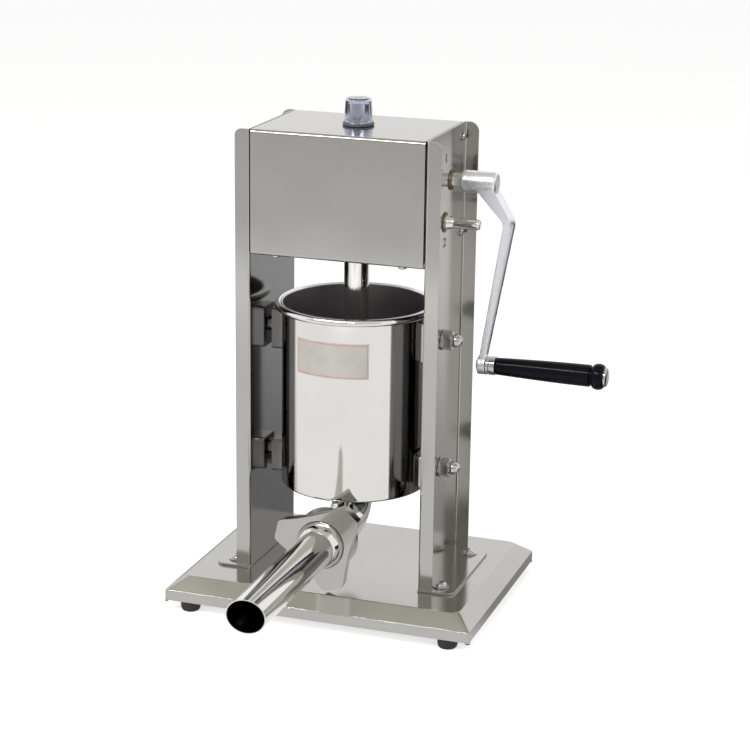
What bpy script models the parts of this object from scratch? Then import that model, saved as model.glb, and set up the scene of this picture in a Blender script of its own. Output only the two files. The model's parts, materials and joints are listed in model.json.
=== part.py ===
"""Vertical sausage stuffer with a rack drive and two crank speeds.

+Z is up, the filling nozzle points along -Y and the crank is on the +X side.
Everything is laid out about the axis of the cylinder, and the finished stand is
then moved so that the middle of its footprint is at X = Y = 0, Z = 0.
"""

import math

import bmesh
import bpy
from mathutils import Matrix, Vector

MM = 0.001

# Fits shared by the whole machine
FIT = 0.3 * MM
OVERRUN = 2.0 * MM
MERGE = 0.01 * MM
SHARP_ANGLE = math.radians(32)

# Base pan: one folded sheet, open underneath, with a lip that carries the feet
BASE_WIDTH = 304.8 * MM
BASE_DEPTH = 228.6 * MM
BASE_SHEET = 1.2 * MM
SKIRT_BOTTOM = 10.0 * MM
SKIRT_HEIGHT = 10.2 * MM
BEVEL_RUN = 14.4 * MM
BEVEL_RISE = 12.3 * MM
BASE_LIP = 20.0 * MM
BASE_CORNER = 3.0 * MM

# Rubber feet, pushed into the lip
FOOT_RADIUS = 9.5 * MM
FOOT_SOLE = 6.8 * MM
FOOT_DOME = 5.0 * MM
FOOT_NECK = 3.4 * MM
FOOT_BARB = 4.7 * MM
FOOT_BARB_LENGTH = 4.0 * MM
FOOT_INSET = 23.4 * MM

# Cylinder: a spun can with a rolled rim and a slotted block welded to each side
CYLINDER_RADIUS = 71.0 * MM
CYLINDER_WALL = 1.0 * MM
CYLINDER_HEIGHT = 179.5 * MM
CYLINDER_CORNER = 2.5 * MM
RIM_REACH = 7.0 * MM
RIM_HEIGHT = 6.7 * MM
RIM_LIP = 1.2 * MM
BLOCK_HALF_DEPTH = 14.0 * MM
BLOCK_WELD = 0.5 * MM
UPPER_BLOCK_ABOVE = 18.0 * MM
UPPER_BLOCK_BELOW = 22.0 * MM
LOWER_BLOCK_ABOVE = 12.0 * MM
LOWER_BLOCK_BELOW = 20.0 * MM

# Posts: two upright channels whose webs carry the cylinder and the gearbox
RIM_CLEARANCE = 7.0 * MM
POST_SHEET = 1.5 * MM
POST_BEND = 1.5 * MM
POST_DEPTH = 120.5 * MM
FLANGE_REACH = 14.4 * MM
FRONT_CORNER = 6.5 * MM
REAR_CORNER = 9.0 * MM
FOOT_PLATE = 2.0 * MM
FOOT_PLATE_REACH = 35.5 * MM
FOOT_PLATE_SPREAD = 2.75 * MM
FOOT_PLATE_CORNER = 9.0 * MM

# Bolts through the post feet and the base
POST_BOLT_REACH = 19.0 * MM
POST_BOLT_SPREAD = 94.0 * MM
POST_BOLT_RADIUS = 3.0 * MM
POST_BOLT_HEAD = 5.8 * MM
POST_BOLT_HEAD_HEIGHT = 3.2 * MM
POST_BOLT_WASHER = 8.0 * MM
POST_BOLT_WASHER_HEIGHT = 1.2 * MM
POST_BOLT_NUT = 5.6 * MM
POST_BOLT_NUT_HEIGHT = 4.5 * MM
POST_BOLT_TAIL = 2.0 * MM

# Studs that the cylinder hooks on, with their domed nuts
STUD_RADIUS = 5.0 * MM
STUD_CHAMFER = 0.5 * MM
STUD_COLLAR = 8.0 * MM
STUD_COLLAR_LENGTH = 2.7 * MM
STUD_THREAD = 10.0 * MM
STUD_TO_CYLINDER = 1.5 * MM
BLOCK_TO_COLLAR = 1.0 * MM
UPPER_STUD_DROP = 30.2 * MM
LOWER_STUD_RISE = 23.3 * MM
NUT_WASHER = 10.0 * MM
NUT_WASHER_HEIGHT = 2.0 * MM
NUT_FLATS = 16.5 * MM
NUT_HEIGHT = 7.8 * MM
NUT_CHAMFER = 0.9 * MM
NUT_DOME_RADIUS = 6.5 * MM
NUT_DOME_RISE = 10.2 * MM

# Gearbox: a folded cover over a frame, between the two webs
COVER_SHEET = 1.2 * MM
COVER_BEND = 2.2 * MM
COVER_HEIGHT = 117.5 * MM
COVER_SIDE_GAP = 0.8 * MM
COVER_LIP = 12.0 * MM
HEADROOM = 50.2 * MM
FRAME_SHEET = 3.0 * MM
FRAME_BEND = 2.0 * MM
FRAME_TO_COVER = 2.05 * MM
FRAME_TOP_GAP = 6.9 * MM
PEDESTAL_X = 20.0 * MM
PEDESTAL_HALF_DEPTH = 17.0 * MM
PEDESTAL_HEAD = 13.5 * MM
PEDESTAL_FOOT = 18.0 * MM

# Small pan-head screws of the gearbox
SCREW_RADIUS = 2.0 * MM
SCREW_HEAD = 4.0 * MM
SCREW_HEAD_HEIGHT = 2.6 * MM
SCREW_REACH = 2.0 * MM
COVER_SCREW_X = 62.0 * MM
COVER_SCREW_INSET = 7.2 * MM
CASE_SCREW_INSET = 9.5 * MM
CASE_SCREW_END = 13.0 * MM

# Gear train: rack, rack pinion and wheel on the drive shaft, pinion on the slow shaft
MODULE = 2.0 * MM
PRESSURE_ANGLE = math.radians(20)
ADDENDUM_SHARE = 0.85
DEDENDUM_SHARE = 1.15
BACKLASH = 0.35 * MM
RACK_PINION_TEETH = 12
WHEEL_TEETH = 30
SLOW_PINION_TEETH = 11
FLANK_POINTS = 2
RACK_PITCH_LINE = 5.0 * MM
DRIVE_AXIS_DROP = 48.3 * MM
SLOW_AXIS_Y = -2.0 * MM
FULL_TURNS = 2.5
RACK_PINION_WIDTH = 22.0 * MM
WHEEL_X = 40.0 * MM
WHEEL_WIDTH = 10.0 * MM
WHEEL_HUB = 12.5 * MM
WHEEL_HUB_WIDTH = 18.0 * MM
WHEEL_RIM = 5.0 * MM
WHEEL_RECESS = 3.0 * MM
SLOW_PINION_WIDTH = 14.0 * MM

# Shafts and their bushes
SHAFT_RADIUS = 7.0 * MM
SHAFT_FLAT = 5.8 * MM
SHAFT_CHAMFER = 0.6 * MM
SEAT_MARGIN = 2.0 * MM
SLOW_JOURNAL = 7.2 * MM
SLOW_ROD = 5.0 * MM
SLOW_FLAT = 4.2 * MM
SLOW_CONE_LENGTH = 8.5 * MM
SLOW_STUB_REACH = 34.5 * MM
SLOW_TIP_ROUND = 1.6 * MM
BUSH_BODY = 9.5 * MM
BUSH_FLANGE = 12.5 * MM
BUSH_FLANGE_WIDTH = 2.0 * MM
BUSH_PROUD = 1.5 * MM
INNER_BUSH_BODY = 8.0 * MM
INNER_BUSH_FLANGE = 10.5 * MM

# Rack bar, its two guide bushes and its clear cap
ROD_RADIUS = 12.0 * MM
ROD_SPIGOT = 9.5 * MM
ROD_SPIGOT_HEIGHT = 18.3 * MM
ROD_CHAMFER = 0.8 * MM
ROD_TAIL = 8.0 * MM
RACK_MARGIN = 12.4 * MM
GUIDE_BODY = 13.6 * MM
GUIDE_BODY_DEPTH = 9.0 * MM
GUIDE_FLANGE = 14.8 * MM
GUIDE_FLANGE_HEIGHT = 2.5 * MM
FLOOR_GUIDE_BODY = 15.0 * MM
FLOOR_GUIDE_FLANGE = 19.0 * MM
FLOOR_GUIDE_FLANGE_HEIGHT = 3.0 * MM
FLOOR_GUIDE_PROUD = 4.0 * MM
CAP_HEIGHT = 22.4 * MM
CAP_BOTTOM_RADIUS = 13.25 * MM
CAP_TOP_RADIUS = 12.1 * MM
CAP_WALL = 1.7 * MM
CAP_RING_HEIGHT = 2.0 * MM
CAP_ROUND = 2.2 * MM

# Piston with its seal ring and nut
PISTON_GAP = 0.8 * MM
PISTON_LIFT = 1.3 * MM
PISTON_HEIGHT = 20.0 * MM
PISTON_CHAMFER = 1.2 * MM
SEAL_GROOVE = 5.2 * MM
SEAL_HEIGHT = 7.4 * MM
SEAL_WALL_GAP = 0.35 * MM
PISTON_NUT = 12.0 * MM
PISTON_NUT_HEIGHT = 7.0 * MM
PISTON_RECESS = 15.5 * MM
PISTON_RECESS_DEPTH = 9.0 * MM

# Spout elbow under the cylinder
SPOUT_RADIUS = 19.0 * MM
SPOUT_WALL = 2.0 * MM
SPOUT_FLANGE = 25.0 * MM
SPOUT_FLANGE_HEIGHT = 2.0 * MM
SPOUT_RISE = 34.4 * MM
SPOUT_REACH = 86.5 * MM
COLLAR_RADIUS = 26.6 * MM
COLLAR_LENGTH = 18.5 * MM
COLLAR_CONE = 6.0 * MM

# Nozzle, its gasket and its three-winged nut
GASKET = 1.2 * MM
GASKET_WIDTH = 6.0 * MM
NOZZLE_FLANGE = 26.0 * MM
NOZZLE_FLANGE_WIDTH = 2.0 * MM
NOZZLE_SHOULDER = 22.6 * MM
NOZZLE_SHOULDER_LENGTH = 5.0 * MM
NOZZLE_DOME_LENGTH = 14.6 * MM
NOZZLE_RADIUS = 17.6 * MM
NOZZLE_WALL = 1.0 * MM
NOZZLE_REACH = 282.8 * MM
MOUTH_SLOPE_X = -0.15
MOUTH_SLOPE_Z = 0.23
NUT_BACK = 72.0 * MM
NUT_PLATE = 10.0 * MM
NUT_LIP = 6.4 * MM
NUT_HUB = 30.0 * MM
NUT_TIP = 45.0 * MM
NUT_TIP_HALF = 8.5 * MM
NUT_WING_HALF = 11.5 * MM
NUT_TIP_CHAMFER = 3.4 * MM
NUT_VALLEY = 28.8 * MM
NUT_GROUND_GAP = 2.8 * MM
NUT_WING_ANGLES = (47, 167, 287)

# Crank: a cast arm with an I section, fixed on the drive shaft
CRANK_RADIUS = 175.0 * MM
HUB_GAP = 11.5 * MM
HUB_RADIUS = 10.5 * MM
HUB_LENGTH = 33.0 * MM
HUB_ROUND = 3.0 * MM
HUB_BORE_DEPTH = 25.0 * MM
ARM_START = 22.5 * MM
ARM_BEND_OUT = 45.7 * MM
ARM_BEND_DROP = 35.5 * MM
ARM_BEND_RADIUS = 14.0 * MM
ARM_END_OUT = 22.6 * MM
ARM_THICKNESSES = (11.0 * MM, 7.8 * MM, 5.8 * MM)
ARM_WIDTHS = (18.5 * MM, 18.0 * MM, 12.7 * MM)
ARM_GROOVE = 1.1 * MM
ARM_RIM = 2.6 * MM
BOSS_START = 19.5 * MM
BOSS_LENGTH = 7.5 * MM
BOSS_RADIUS = 9.2 * MM
BOSS_EDGE = 0.8 * MM
SET_SCREW_X = 9.0 * MM
SET_SCREW_RADIUS = 2.5 * MM
SET_SCREW_SUNK = 0.6 * MM
SET_SCREW_SOCKET = 1.3 * MM

# Grip that turns on the crank's spindle
SPINDLE_RADIUS = 4.0 * MM
SPINDLE_HEAD = 6.0 * MM
SPINDLE_HEAD_HEIGHT = 1.6 * MM
FERRULE_RADIUS = 9.0 * MM
FERRULE_LENGTH = 9.2 * MM
FERRULE_EDGE = 0.6 * MM
GRIP_LENGTH = 104.4 * MM
GRIP_NECK_RADIUS = 8.2 * MM
GRIP_SWELL_RADIUS = 10.4 * MM
GRIP_WAIST_RADIUS = 8.9 * MM
GRIP_BEAD_RADIUS = 12.4 * MM
GRIP_BEAD_LENGTH = 11.4 * MM
GRIP_WAIST_LENGTH = 2.4 * MM
GRIP_EDGE = 1.2 * MM
END_CAP_RADIUS = 9.2 * MM
END_CAP_HEIGHT = 3.4 * MM
END_CAP_RECESS = 1.6 * MM

# Smoothness of the round forms, as numbers of sides and steps
CAN_SIDES = 40
PISTON_SIDES = 30
ROUND_SIDES = 20
PIPE_SIDES = 20
SMALL_SIDES = 16
NUT_SIDES = 12
SCREW_SIDES = 8
CORNER_STEPS = 3
BEND_STEPS = 2
ELBOW_STEPS = 5

# Outline shares
BUTTON_CROWN_SHARE = 0.66
PAN_CROWN_SHARE = 0.72
DOME_EASE_SHARE = 0.35
GRIP_SWELL_SHARES = (0.25, 0.5, 0.75, 1.0)

# Places that follow from the sizes above, all measured from the cylinder's axis
BASE_TOP = SKIRT_BOTTOM + SKIRT_HEIGHT + BEVEL_RISE
NOZZLE_Z = BASE_TOP + NUT_TIP + NUT_GROUND_GAP
CYLINDER_BOTTOM = NOZZLE_Z + SPOUT_RISE
CYLINDER_TOP = CYLINDER_BOTTOM + CYLINDER_HEIGHT
UPPER_STUD_Z = CYLINDER_TOP - UPPER_STUD_DROP
LOWER_STUD_Z = CYLINDER_BOTTOM + LOWER_STUD_RISE
WEB_INNER = CYLINDER_RADIUS + RIM_REACH + RIM_CLEARANCE
WEB_OUTER = WEB_INNER + POST_SHEET
POST_HALF = POST_DEPTH / 2
PLATE_BOTTOM = BASE_TOP + FIT
PLATE_TOP = PLATE_BOTTOM + FOOT_PLATE
POST_BOLT_X = WEB_INNER + POST_BOLT_REACH
COVER_BOTTOM = CYLINDER_TOP + HEADROOM
COVER_TOP = COVER_BOTTOM + COVER_HEIGHT
COVER_HALF_WIDTH = WEB_INNER - COVER_SIDE_GAP
FRAME_BOTTOM = COVER_BOTTOM + COVER_SHEET + FIT
FRAME_FLOOR = FRAME_BOTTOM + FRAME_SHEET
FRAME_OUTER = WEB_INNER - FIT
FRAME_INNER = FRAME_OUTER - FRAME_SHEET
FRAME_HALF_DEPTH = POST_HALF - COVER_SHEET - FRAME_TO_COVER
FRAME_TOP = COVER_TOP - FRAME_TOP_GAP
COVER_SCREW_Y = POST_HALF - COVER_SHEET - COVER_SCREW_INSET
CASE_SCREW_Y = POST_HALF - CASE_SCREW_INSET
RACK_PINION_RADIUS = MODULE * RACK_PINION_TEETH / 2
WHEEL_RADIUS = MODULE * WHEEL_TEETH / 2
SHAFT_SPACING = MODULE * (WHEEL_TEETH + SLOW_PINION_TEETH) / 2
DRIVE_Y = RACK_PITCH_LINE + RACK_PINION_RADIUS
DRIVE_Z = COVER_TOP - DRIVE_AXIS_DROP
SLOW_Z = DRIVE_Z - math.sqrt(SHAFT_SPACING**2 - (DRIVE_Y - SLOW_AXIS_Y) ** 2)
TRAVEL = FULL_TURNS * math.tau * RACK_PINION_RADIUS
PISTON_BOTTOM = CYLINDER_BOTTOM + CYLINDER_WALL + PISTON_LIFT
PISTON_TOP = PISTON_BOTTOM + PISTON_HEIGHT
PISTON_RADIUS = CYLINDER_RADIUS - CYLINDER_WALL - PISTON_GAP
GUIDE_TOP = COVER_TOP + FIT + GUIDE_FLANGE_HEIGHT
CAP_BOTTOM = GUIDE_TOP + FIT
HUB_START = WEB_OUTER + HUB_GAP
BOSS_X = HUB_START + BOSS_START
FERRULE_X = BOSS_X + BOSS_LENGTH + FIT
GRIP_X = FERRULE_X + FERRULE_LENGTH + FIT
END_CAP_X = GRIP_X + GRIP_LENGTH + FIT
COLLAR_FRONT = SPOUT_REACH
GASKET_FRONT = COLLAR_FRONT + FIT + GASKET
FLANGE_BACK = GASKET_FRONT + FIT
FLANGE_FRONT = FLANGE_BACK + NOZZLE_FLANGE_WIDTH
NUT_LIP_BACK = FLANGE_FRONT + FIT
NUT_FRONT = NUT_LIP_BACK + NUT_LIP

LOOKS = {
    "brushed": ((0.42, 0.41, 0.38), 1.0, 0.32),
    "polished": ((0.58, 0.57, 0.55), 1.0, 0.14),
    "bright": ((0.66, 0.66, 0.66), 1.0, 0.12),
    "cast": ((0.63, 0.64, 0.68), 1.0, 0.38),
    "machined": ((0.48, 0.48, 0.48), 1.0, 0.28),
    "bronze": ((0.55, 0.38, 0.18), 1.0, 0.35),
    "black": ((0.012, 0.012, 0.015), 0.0, 0.18),
    "rubber": ((0.02, 0.02, 0.02), 0.0, 0.7),
    "silicone": ((0.75, 0.74, 0.70), 0.0, 0.45),
    "clear": ((0.86, 0.88, 0.87), 0.0, 0.08),
    "nylon": ((0.70, 0.69, 0.64), 0.0, 0.4),
}

PLANES = {
    "XY": lambda a, b, c: (a, b, c),
    "XZ": lambda a, b, c: (a, c, b),
    "YZ": lambda a, b, c: (c, a, b),
}
ALONG_X = (0.0, math.pi / 2, 0.0)
ALONG_FRONT = (math.pi / 2, 0.0, 0.0)


# Scene helpers


def clear_scene():
    for obj in list(bpy.data.objects):
        bpy.data.objects.remove(obj, do_unlink=True)


def axis(name, spot=(0, 0, 0), parent=None):
    """An empty on a joint's axis, which carries the pieces of one moving body."""
    holder = bpy.data.objects.new(name, None)
    bpy.context.scene.collection.objects.link(holder)
    holder.parent = parent
    holder.location = spot
    return holder


def material(name, look):
    colour, metallic, roughness = LOOKS[look]
    made = bpy.data.materials.new(name)
    made.use_nodes = True
    shader = made.node_tree.nodes["Principled BSDF"]
    shader.inputs["Base Color"].default_value = (*colour, 1)
    shader.inputs["Metallic"].default_value = metallic
    shader.inputs["Roughness"].default_value = roughness
    return made


def placed(name, bm, parent, spot, turn):
    bmesh.ops.recalc_face_normals(bm, faces=bm.faces[:])
    mesh = bpy.data.meshes.new(name)
    bm.to_mesh(mesh)
    bm.free()
    obj = bpy.data.objects.new(name, mesh)
    bpy.context.scene.collection.objects.link(obj)
    obj.parent = parent
    obj.location = spot
    obj.rotation_euler = turn
    return obj


def piece(name, bm, look, parent, spot=(0, 0, 0), turn=(0, 0, 0)):
    """A sub-part with its own material, shaded smooth between its sharp edges."""
    obj = placed(name, bm, parent, spot, turn)
    obj.data.shade_smooth()
    obj.data.set_sharp_from_angle(angle=SHARP_ANGLE)
    obj.data.materials.append(material(name + "_" + look, look))
    return obj


def tool(name, bm, parent, spot=(0, 0, 0), turn=(0, 0, 0)):
    """A helper shape for a Boolean, left out of the model."""
    obj = placed(name, bm, parent, spot, turn)
    obj.hide_render = True
    obj.display_type = "WIRE"
    return obj


def boolean(target, helper, operation):
    step = target.modifiers.new(operation.title() + " " + helper.name, "BOOLEAN")
    step.operation = operation
    step.solver = "EXACT"
    step.object = helper


def cut(target, helper):
    boolean(target, helper, "DIFFERENCE")


def fuse(target, helper):
    boolean(target, helper, "UNION")


# Shape helpers


def turned(profile, sides):
    """Spins (radius, height) points round Z. A profile that stays off the axis is closed into a ring."""
    bm = bmesh.new()
    corners = [bm.verts.new((radius, 0, height)) for radius, height in profile]
    edges = [bm.edges.new(pair) for pair in zip(corners, corners[1:])]
    if profile[0][0] > 0:
        edges.append(bm.edges.new((corners[-1], corners[0])))
    bmesh.ops.spin(
        bm,
        geom=corners + edges,
        axis=(0, 0, 1),
        cent=(0, 0, 0),
        angle=math.tau,
        steps=sides,
        use_merge=True,
    )
    bmesh.ops.remove_doubles(bm, verts=bm.verts[:], dist=MERGE)
    return bm


def prism(outline, start, end, plane):
    """A flat outline in the named plane, drawn out from start to end along the third axis."""
    bm = bmesh.new()
    add_prism(bm, outline, start, end, plane)
    return bm


def add_prism(bm, outline, start, end, plane):
    spot = PLANES[plane]
    face = bm.faces.new([bm.verts.new(spot(a, b, start)) for a, b in outline])
    grown = bmesh.ops.extrude_face_region(bm, geom=[face])["geom"]
    moved = [v for v in grown if isinstance(v, bmesh.types.BMVert)]
    bmesh.ops.translate(bm, verts=moved, vec=Vector(spot(0, 0, end - start)))


def pins(spots, radius, start, end, plane, sides=SMALL_SIDES):
    """Round pins through the named plane, for holes."""
    bm = bmesh.new()
    for centre in spots:
        add_prism(bm, circle(radius, sides, centre), start, end, plane)
    return bm


def skinned(rings, looped=False):
    """A skin over rings of equal count, closed by end faces or, when looped, back onto itself."""
    bm = bmesh.new()
    rows = [[bm.verts.new(point) for point in ring] for ring in rings]
    pairs = list(zip(rows, rows[1:]))
    if looped:
        pairs.append((rows[-1], rows[0]))
    for lower, upper in pairs:
        for i in range(len(lower)):
            j = (i + 1) % len(lower)
            bm.faces.new((lower[i], lower[j], upper[j], upper[i]))
    if not looped:
        bm.faces.new(rows[0][::-1])
        bm.faces.new(rows[-1])
    return bm


def circle(radius, sides, centre=(0, 0)):
    return arc(centre, radius, 0, math.tau, sides)[:-1]


def arc(centre, radius, start, end, steps):
    """Points from one angle to another, both ends included."""
    angles = [start + (end - start) * i / steps for i in range(steps + 1)]
    return [
        (centre[0] + radius * math.cos(a), centre[1] + radius * math.sin(a))
        for a in angles
    ]


def arc_through(start, middle, end, steps):
    """Points on the circle through three points, from the first to the last."""
    (ax, ay), (bx, by), (cx, cy) = start, middle, end
    turn = 2 * (ax * (by - cy) + bx * (cy - ay) + cx * (ay - by))
    sa, sb, sc = ax**2 + ay**2, bx**2 + by**2, cx**2 + cy**2
    ox = (sa * (by - cy) + sb * (cy - ay) + sc * (ay - by)) / turn
    oy = (sa * (cx - bx) + sb * (ax - cx) + sc * (bx - ax)) / turn
    first = math.atan2(ay - oy, ax - ox)
    last = math.atan2(cy - oy, cx - ox)
    sweep = (last - first + math.pi) % math.tau - math.pi
    return arc((ox, oy), math.hypot(ax - ox, ay - oy), first, first + sweep, steps)


def rectangle(left, bottom, right, top):
    return [(left, bottom), (right, bottom), (right, top), (left, top)]


def rounded_rectangle(half_x, half_y, corner, steps):
    points = []
    for quarter, (sx, sy) in enumerate(((1, 1), (-1, 1), (-1, -1), (1, -1))):
        centre = (sx * (half_x - corner), sy * (half_y - corner))
        start = quarter * math.pi / 2
        points += arc(centre, corner, start, start + math.pi / 2, steps)
    return points


def strip(path, thickness, bend):
    """The outline of a folded sheet. path follows its outer face, with the sheet on the left."""
    path = [Vector(point) for point in path]
    runs = [(b - a).normalized() for a, b in zip(path, path[1:])]
    normals = [Vector((-run.y, run.x)) for run in runs]
    near = [path[0]]
    far = [path[0] + normals[0] * thickness]
    for corner, before, after in zip(path[1:-1], normals, normals[1:]):
        outer = bend + thickness
        centre = corner + (before + after) * outer / (1 + before.dot(after))
        for i in range(BEND_STEPS + 1):
            across = before.slerp(after, i / BEND_STEPS)
            near.append(centre - across * outer)
            far.append(centre - across * bend)
    near.append(path[-1])
    far.append(path[-1] + normals[-1] * thickness)
    return [tuple(point) for point in near + far[::-1]]


def flatted(radius, flat, sides):
    """A circle with two flats across its first axis."""
    return [(max(-flat, min(flat, a)), b) for a, b in circle(radius, sides)]


def bar(stations, sides):
    """A stepped bar along X from (x, radius, flat) stations, where flat may equal the radius."""
    return skinned(
        [
            [(x, a, b) for a, b in flatted(radius, flat, sides)]
            for x, radius, flat in stations
        ]
    )


def hexagon(across_corners, sides, limit):
    """A hexagon as a ring of sides points, kept within a circle of radius limit."""
    points = []
    flat = across_corners * math.cos(math.pi / 6)
    for i in range(sides):
        a = math.tau * i / sides
        off = (a + math.pi / 6) % (math.pi / 3) - math.pi / 6
        reach = flat / math.cos(math.pi / 6 - abs(off))
        radius = min(reach, limit)
        points.append((radius * math.cos(a), radius * math.sin(a)))
    return points


def level(outline, height):
    return [(a, b, height) for a, b in outline]


# Base and feet


def base_ring(inset, height, corner):
    outline = rounded_rectangle(
        BASE_WIDTH / 2 - inset, BASE_DEPTH / 2 - inset, corner, BEND_STEPS
    )
    return level(outline, height)


def base_pan(stand):
    sheet = BASE_SHEET
    skirt_top = SKIRT_BOTTOM + SKIRT_HEIGHT
    slope = BEVEL_RISE / BEVEL_RUN
    slant = sheet * math.hypot(1, slope)
    under_inset = (BEVEL_RISE - sheet + slant) / slope
    inner_corner = BASE_CORNER - sheet
    rings = [
        base_ring(under_inset, BASE_TOP - sheet, inner_corner),
        base_ring(sheet, skirt_top + slope * sheet - slant, inner_corner),
        base_ring(sheet, SKIRT_BOTTOM + sheet, inner_corner),
        base_ring(BASE_LIP, SKIRT_BOTTOM + sheet, inner_corner),
        base_ring(BASE_LIP, SKIRT_BOTTOM, inner_corner),
        base_ring(0, SKIRT_BOTTOM, BASE_CORNER),
        base_ring(0, skirt_top, BASE_CORNER),
        base_ring(BEVEL_RUN, BASE_TOP, BASE_CORNER),
    ]
    pan = piece("base_pan", skinned(rings), "brushed", stand)
    bolt_holes = pins(
        post_bolt_spots(),
        POST_BOLT_RADIUS + FIT,
        skirt_top,
        BASE_TOP + OVERRUN,
        "XY",
        SCREW_SIDES,
    )
    foot_holes = pins(
        foot_spots(), FOOT_NECK + FIT, 0, skirt_top, "XY", SCREW_SIDES
    )
    cut(pan, tool("cut_base_bolt_holes", bolt_holes, stand))
    cut(pan, tool("cut_base_foot_holes", foot_holes, stand))


def foot_spots():
    x = BASE_WIDTH / 2 - FOOT_INSET
    y = BASE_DEPTH / 2 - BASE_LIP / 2
    return [(-x, -y), (x, -y), (x, y), (-x, y)]


def post_bolt_spots():
    y = POST_BOLT_SPREAD / 2
    return [(sx * POST_BOLT_X, sy * y) for sx in (-1, 1) for sy in (-1, 1)]


def feet(stand):
    shoulder = SKIRT_BOTTOM - FIT
    barb = SKIRT_BOTTOM + BASE_SHEET + FIT
    profile = [
        (0, 0),
        (FOOT_SOLE, 0),
        ((FOOT_SOLE + 2 * FOOT_RADIUS) / 3, FOOT_DOME / 3),
        (FOOT_RADIUS, FOOT_DOME),
        (FOOT_RADIUS, shoulder),
        (FOOT_NECK, shoulder),
        (FOOT_NECK, barb),
        (FOOT_BARB, barb),
        (FOOT_NECK, barb + FOOT_BARB_LENGTH),
        (0, barb + FOOT_BARB_LENGTH),
    ]
    names = ("front_left", "front_right", "rear_right", "rear_left")
    for name, (x, y) in zip(names, foot_spots()):
        piece("foot_" + name, turned(profile, NUT_SIDES), "rubber", stand, (x, y, 0))


# Posts and their bolts


def flange_corner(y, radius):
    """A prism that takes the sharp top corner off one flange, at the +X side."""
    x = WEB_INNER + FLANGE_REACH
    centre = (x - radius, COVER_TOP - radius)
    outline = arc(centre, radius, math.pi / 2, 0, CORNER_STEPS)
    outline += [
        (x + OVERRUN, centre[1]),
        (x + OVERRUN, COVER_TOP + OVERRUN),
        (centre[0], COVER_TOP + OVERRUN),
    ]
    return prism(outline, y - OVERRUN, y + OVERRUN, "XZ")


def post_foot(side):
    """The foot plate, rounded at its two outer corners."""
    inner = side * (WEB_INNER + POST_SHEET / 2)
    outer = WEB_INNER + FOOT_PLATE_REACH
    half = POST_HALF + FOOT_PLATE_SPREAD
    corner = FOOT_PLATE_CORNER
    rim = arc((outer - corner, half - corner), corner, 0, math.pi / 2, CORNER_STEPS)
    outline = [(side * x, y) for x, y in rim]
    outline += [(inner, half), (inner, -half)]
    outline += [(side * x, -y) for x, y in rim[::-1]]
    return prism(outline, PLATE_BOTTOM, PLATE_TOP, "XY")


def post(stand, name, side, bush_holes):
    path = [
        (WEB_INNER + FLANGE_REACH, POST_HALF),
        (WEB_INNER, POST_HALF),
        (WEB_INNER, -POST_HALF),
        (WEB_INNER + FLANGE_REACH, -POST_HALF),
    ]
    outline = [(side * x, y) for x, y in strip(path, POST_SHEET, POST_BEND)]
    channel = prism(outline, PLATE_BOTTOM + FOOT_PLATE / 2, COVER_TOP, "XY")
    made = piece(name, channel, "brushed", stand)
    fuse(made, tool("add_" + name + "_foot", post_foot(side), stand))
    corners = ((-POST_HALF, FRONT_CORNER), (POST_HALF, REAR_CORNER))
    for label, (y, radius) in zip(("front", "rear"), corners):
        shape = flange_corner(y, radius)
        bmesh.ops.scale(shape, vec=(side, 1, 1), verts=shape.verts[:])
        cut(made, tool(f"cut_{name}_{label}_corner", shape, stand))
    ends = sorted((side * (WEB_INNER - OVERRUN), side * (WEB_OUTER + OVERRUN)))
    studs = [(0, LOWER_STUD_Z), (0, UPPER_STUD_Z)]
    holes = pins(studs, STUD_RADIUS + FIT, *ends, "YZ")
    screws = pins(case_screw_spots(), SCREW_RADIUS + FIT, *ends, "YZ", SCREW_SIDES)
    bushes = pins(bush_holes, BUSH_BODY + FIT, *ends, "YZ")
    bolts = [spot for spot in post_bolt_spots() if spot[0] * side > 0]
    bolt_ends = (BASE_TOP, PLATE_TOP + OVERRUN)
    bolt_holes = pins(bolts, POST_BOLT_RADIUS + FIT, *bolt_ends, "XY", SCREW_SIDES)
    cut(made, tool(f"cut_{name}_stud_holes", holes, stand))
    cut(made, tool(f"cut_{name}_screw_holes", screws, stand))
    cut(made, tool(f"cut_{name}_bush_holes", bushes, stand))
    cut(made, tool(f"cut_{name}_bolt_holes", bolt_holes, stand))


def post_bolts(stand):
    """Button-head bolts with a washer under the head and a nut below the base."""
    radius = POST_BOLT_RADIUS
    under = BASE_TOP - BASE_SHEET - FIT
    nut_bottom = under - POST_BOLT_NUT_HEIGHT
    washer = PLATE_TOP + FIT
    head = washer + POST_BOLT_WASHER_HEIGHT
    top = head + POST_BOLT_HEAD_HEIGHT
    sides = NUT_SIDES
    tail = nut_bottom - POST_BOLT_TAIL
    nut = hexagon(POST_BOLT_NUT, sides, POST_BOLT_NUT)
    rings = [
        level(circle(radius, sides), tail),
        level(circle(radius, sides), nut_bottom),
        level(nut, nut_bottom),
        level(nut, under),
        level(circle(radius, sides), under),
        level(circle(radius, sides), washer),
        level(circle(POST_BOLT_WASHER, sides), washer),
        level(circle(POST_BOLT_WASHER, sides), head),
        level(circle(POST_BOLT_HEAD, sides), head),
        level(circle(POST_BOLT_HEAD, sides), head + POST_BOLT_HEAD_HEIGHT / 3),
        level(circle(POST_BOLT_HEAD * BUTTON_CROWN_SHARE, sides), top),
    ]
    for i, (x, y) in enumerate(post_bolt_spots(), 1):
        piece(f"post_bolt_{i}", skinned(rings), "bright", stand, (x, y, 0))


# Gearbox cover, frame and screws


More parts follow.
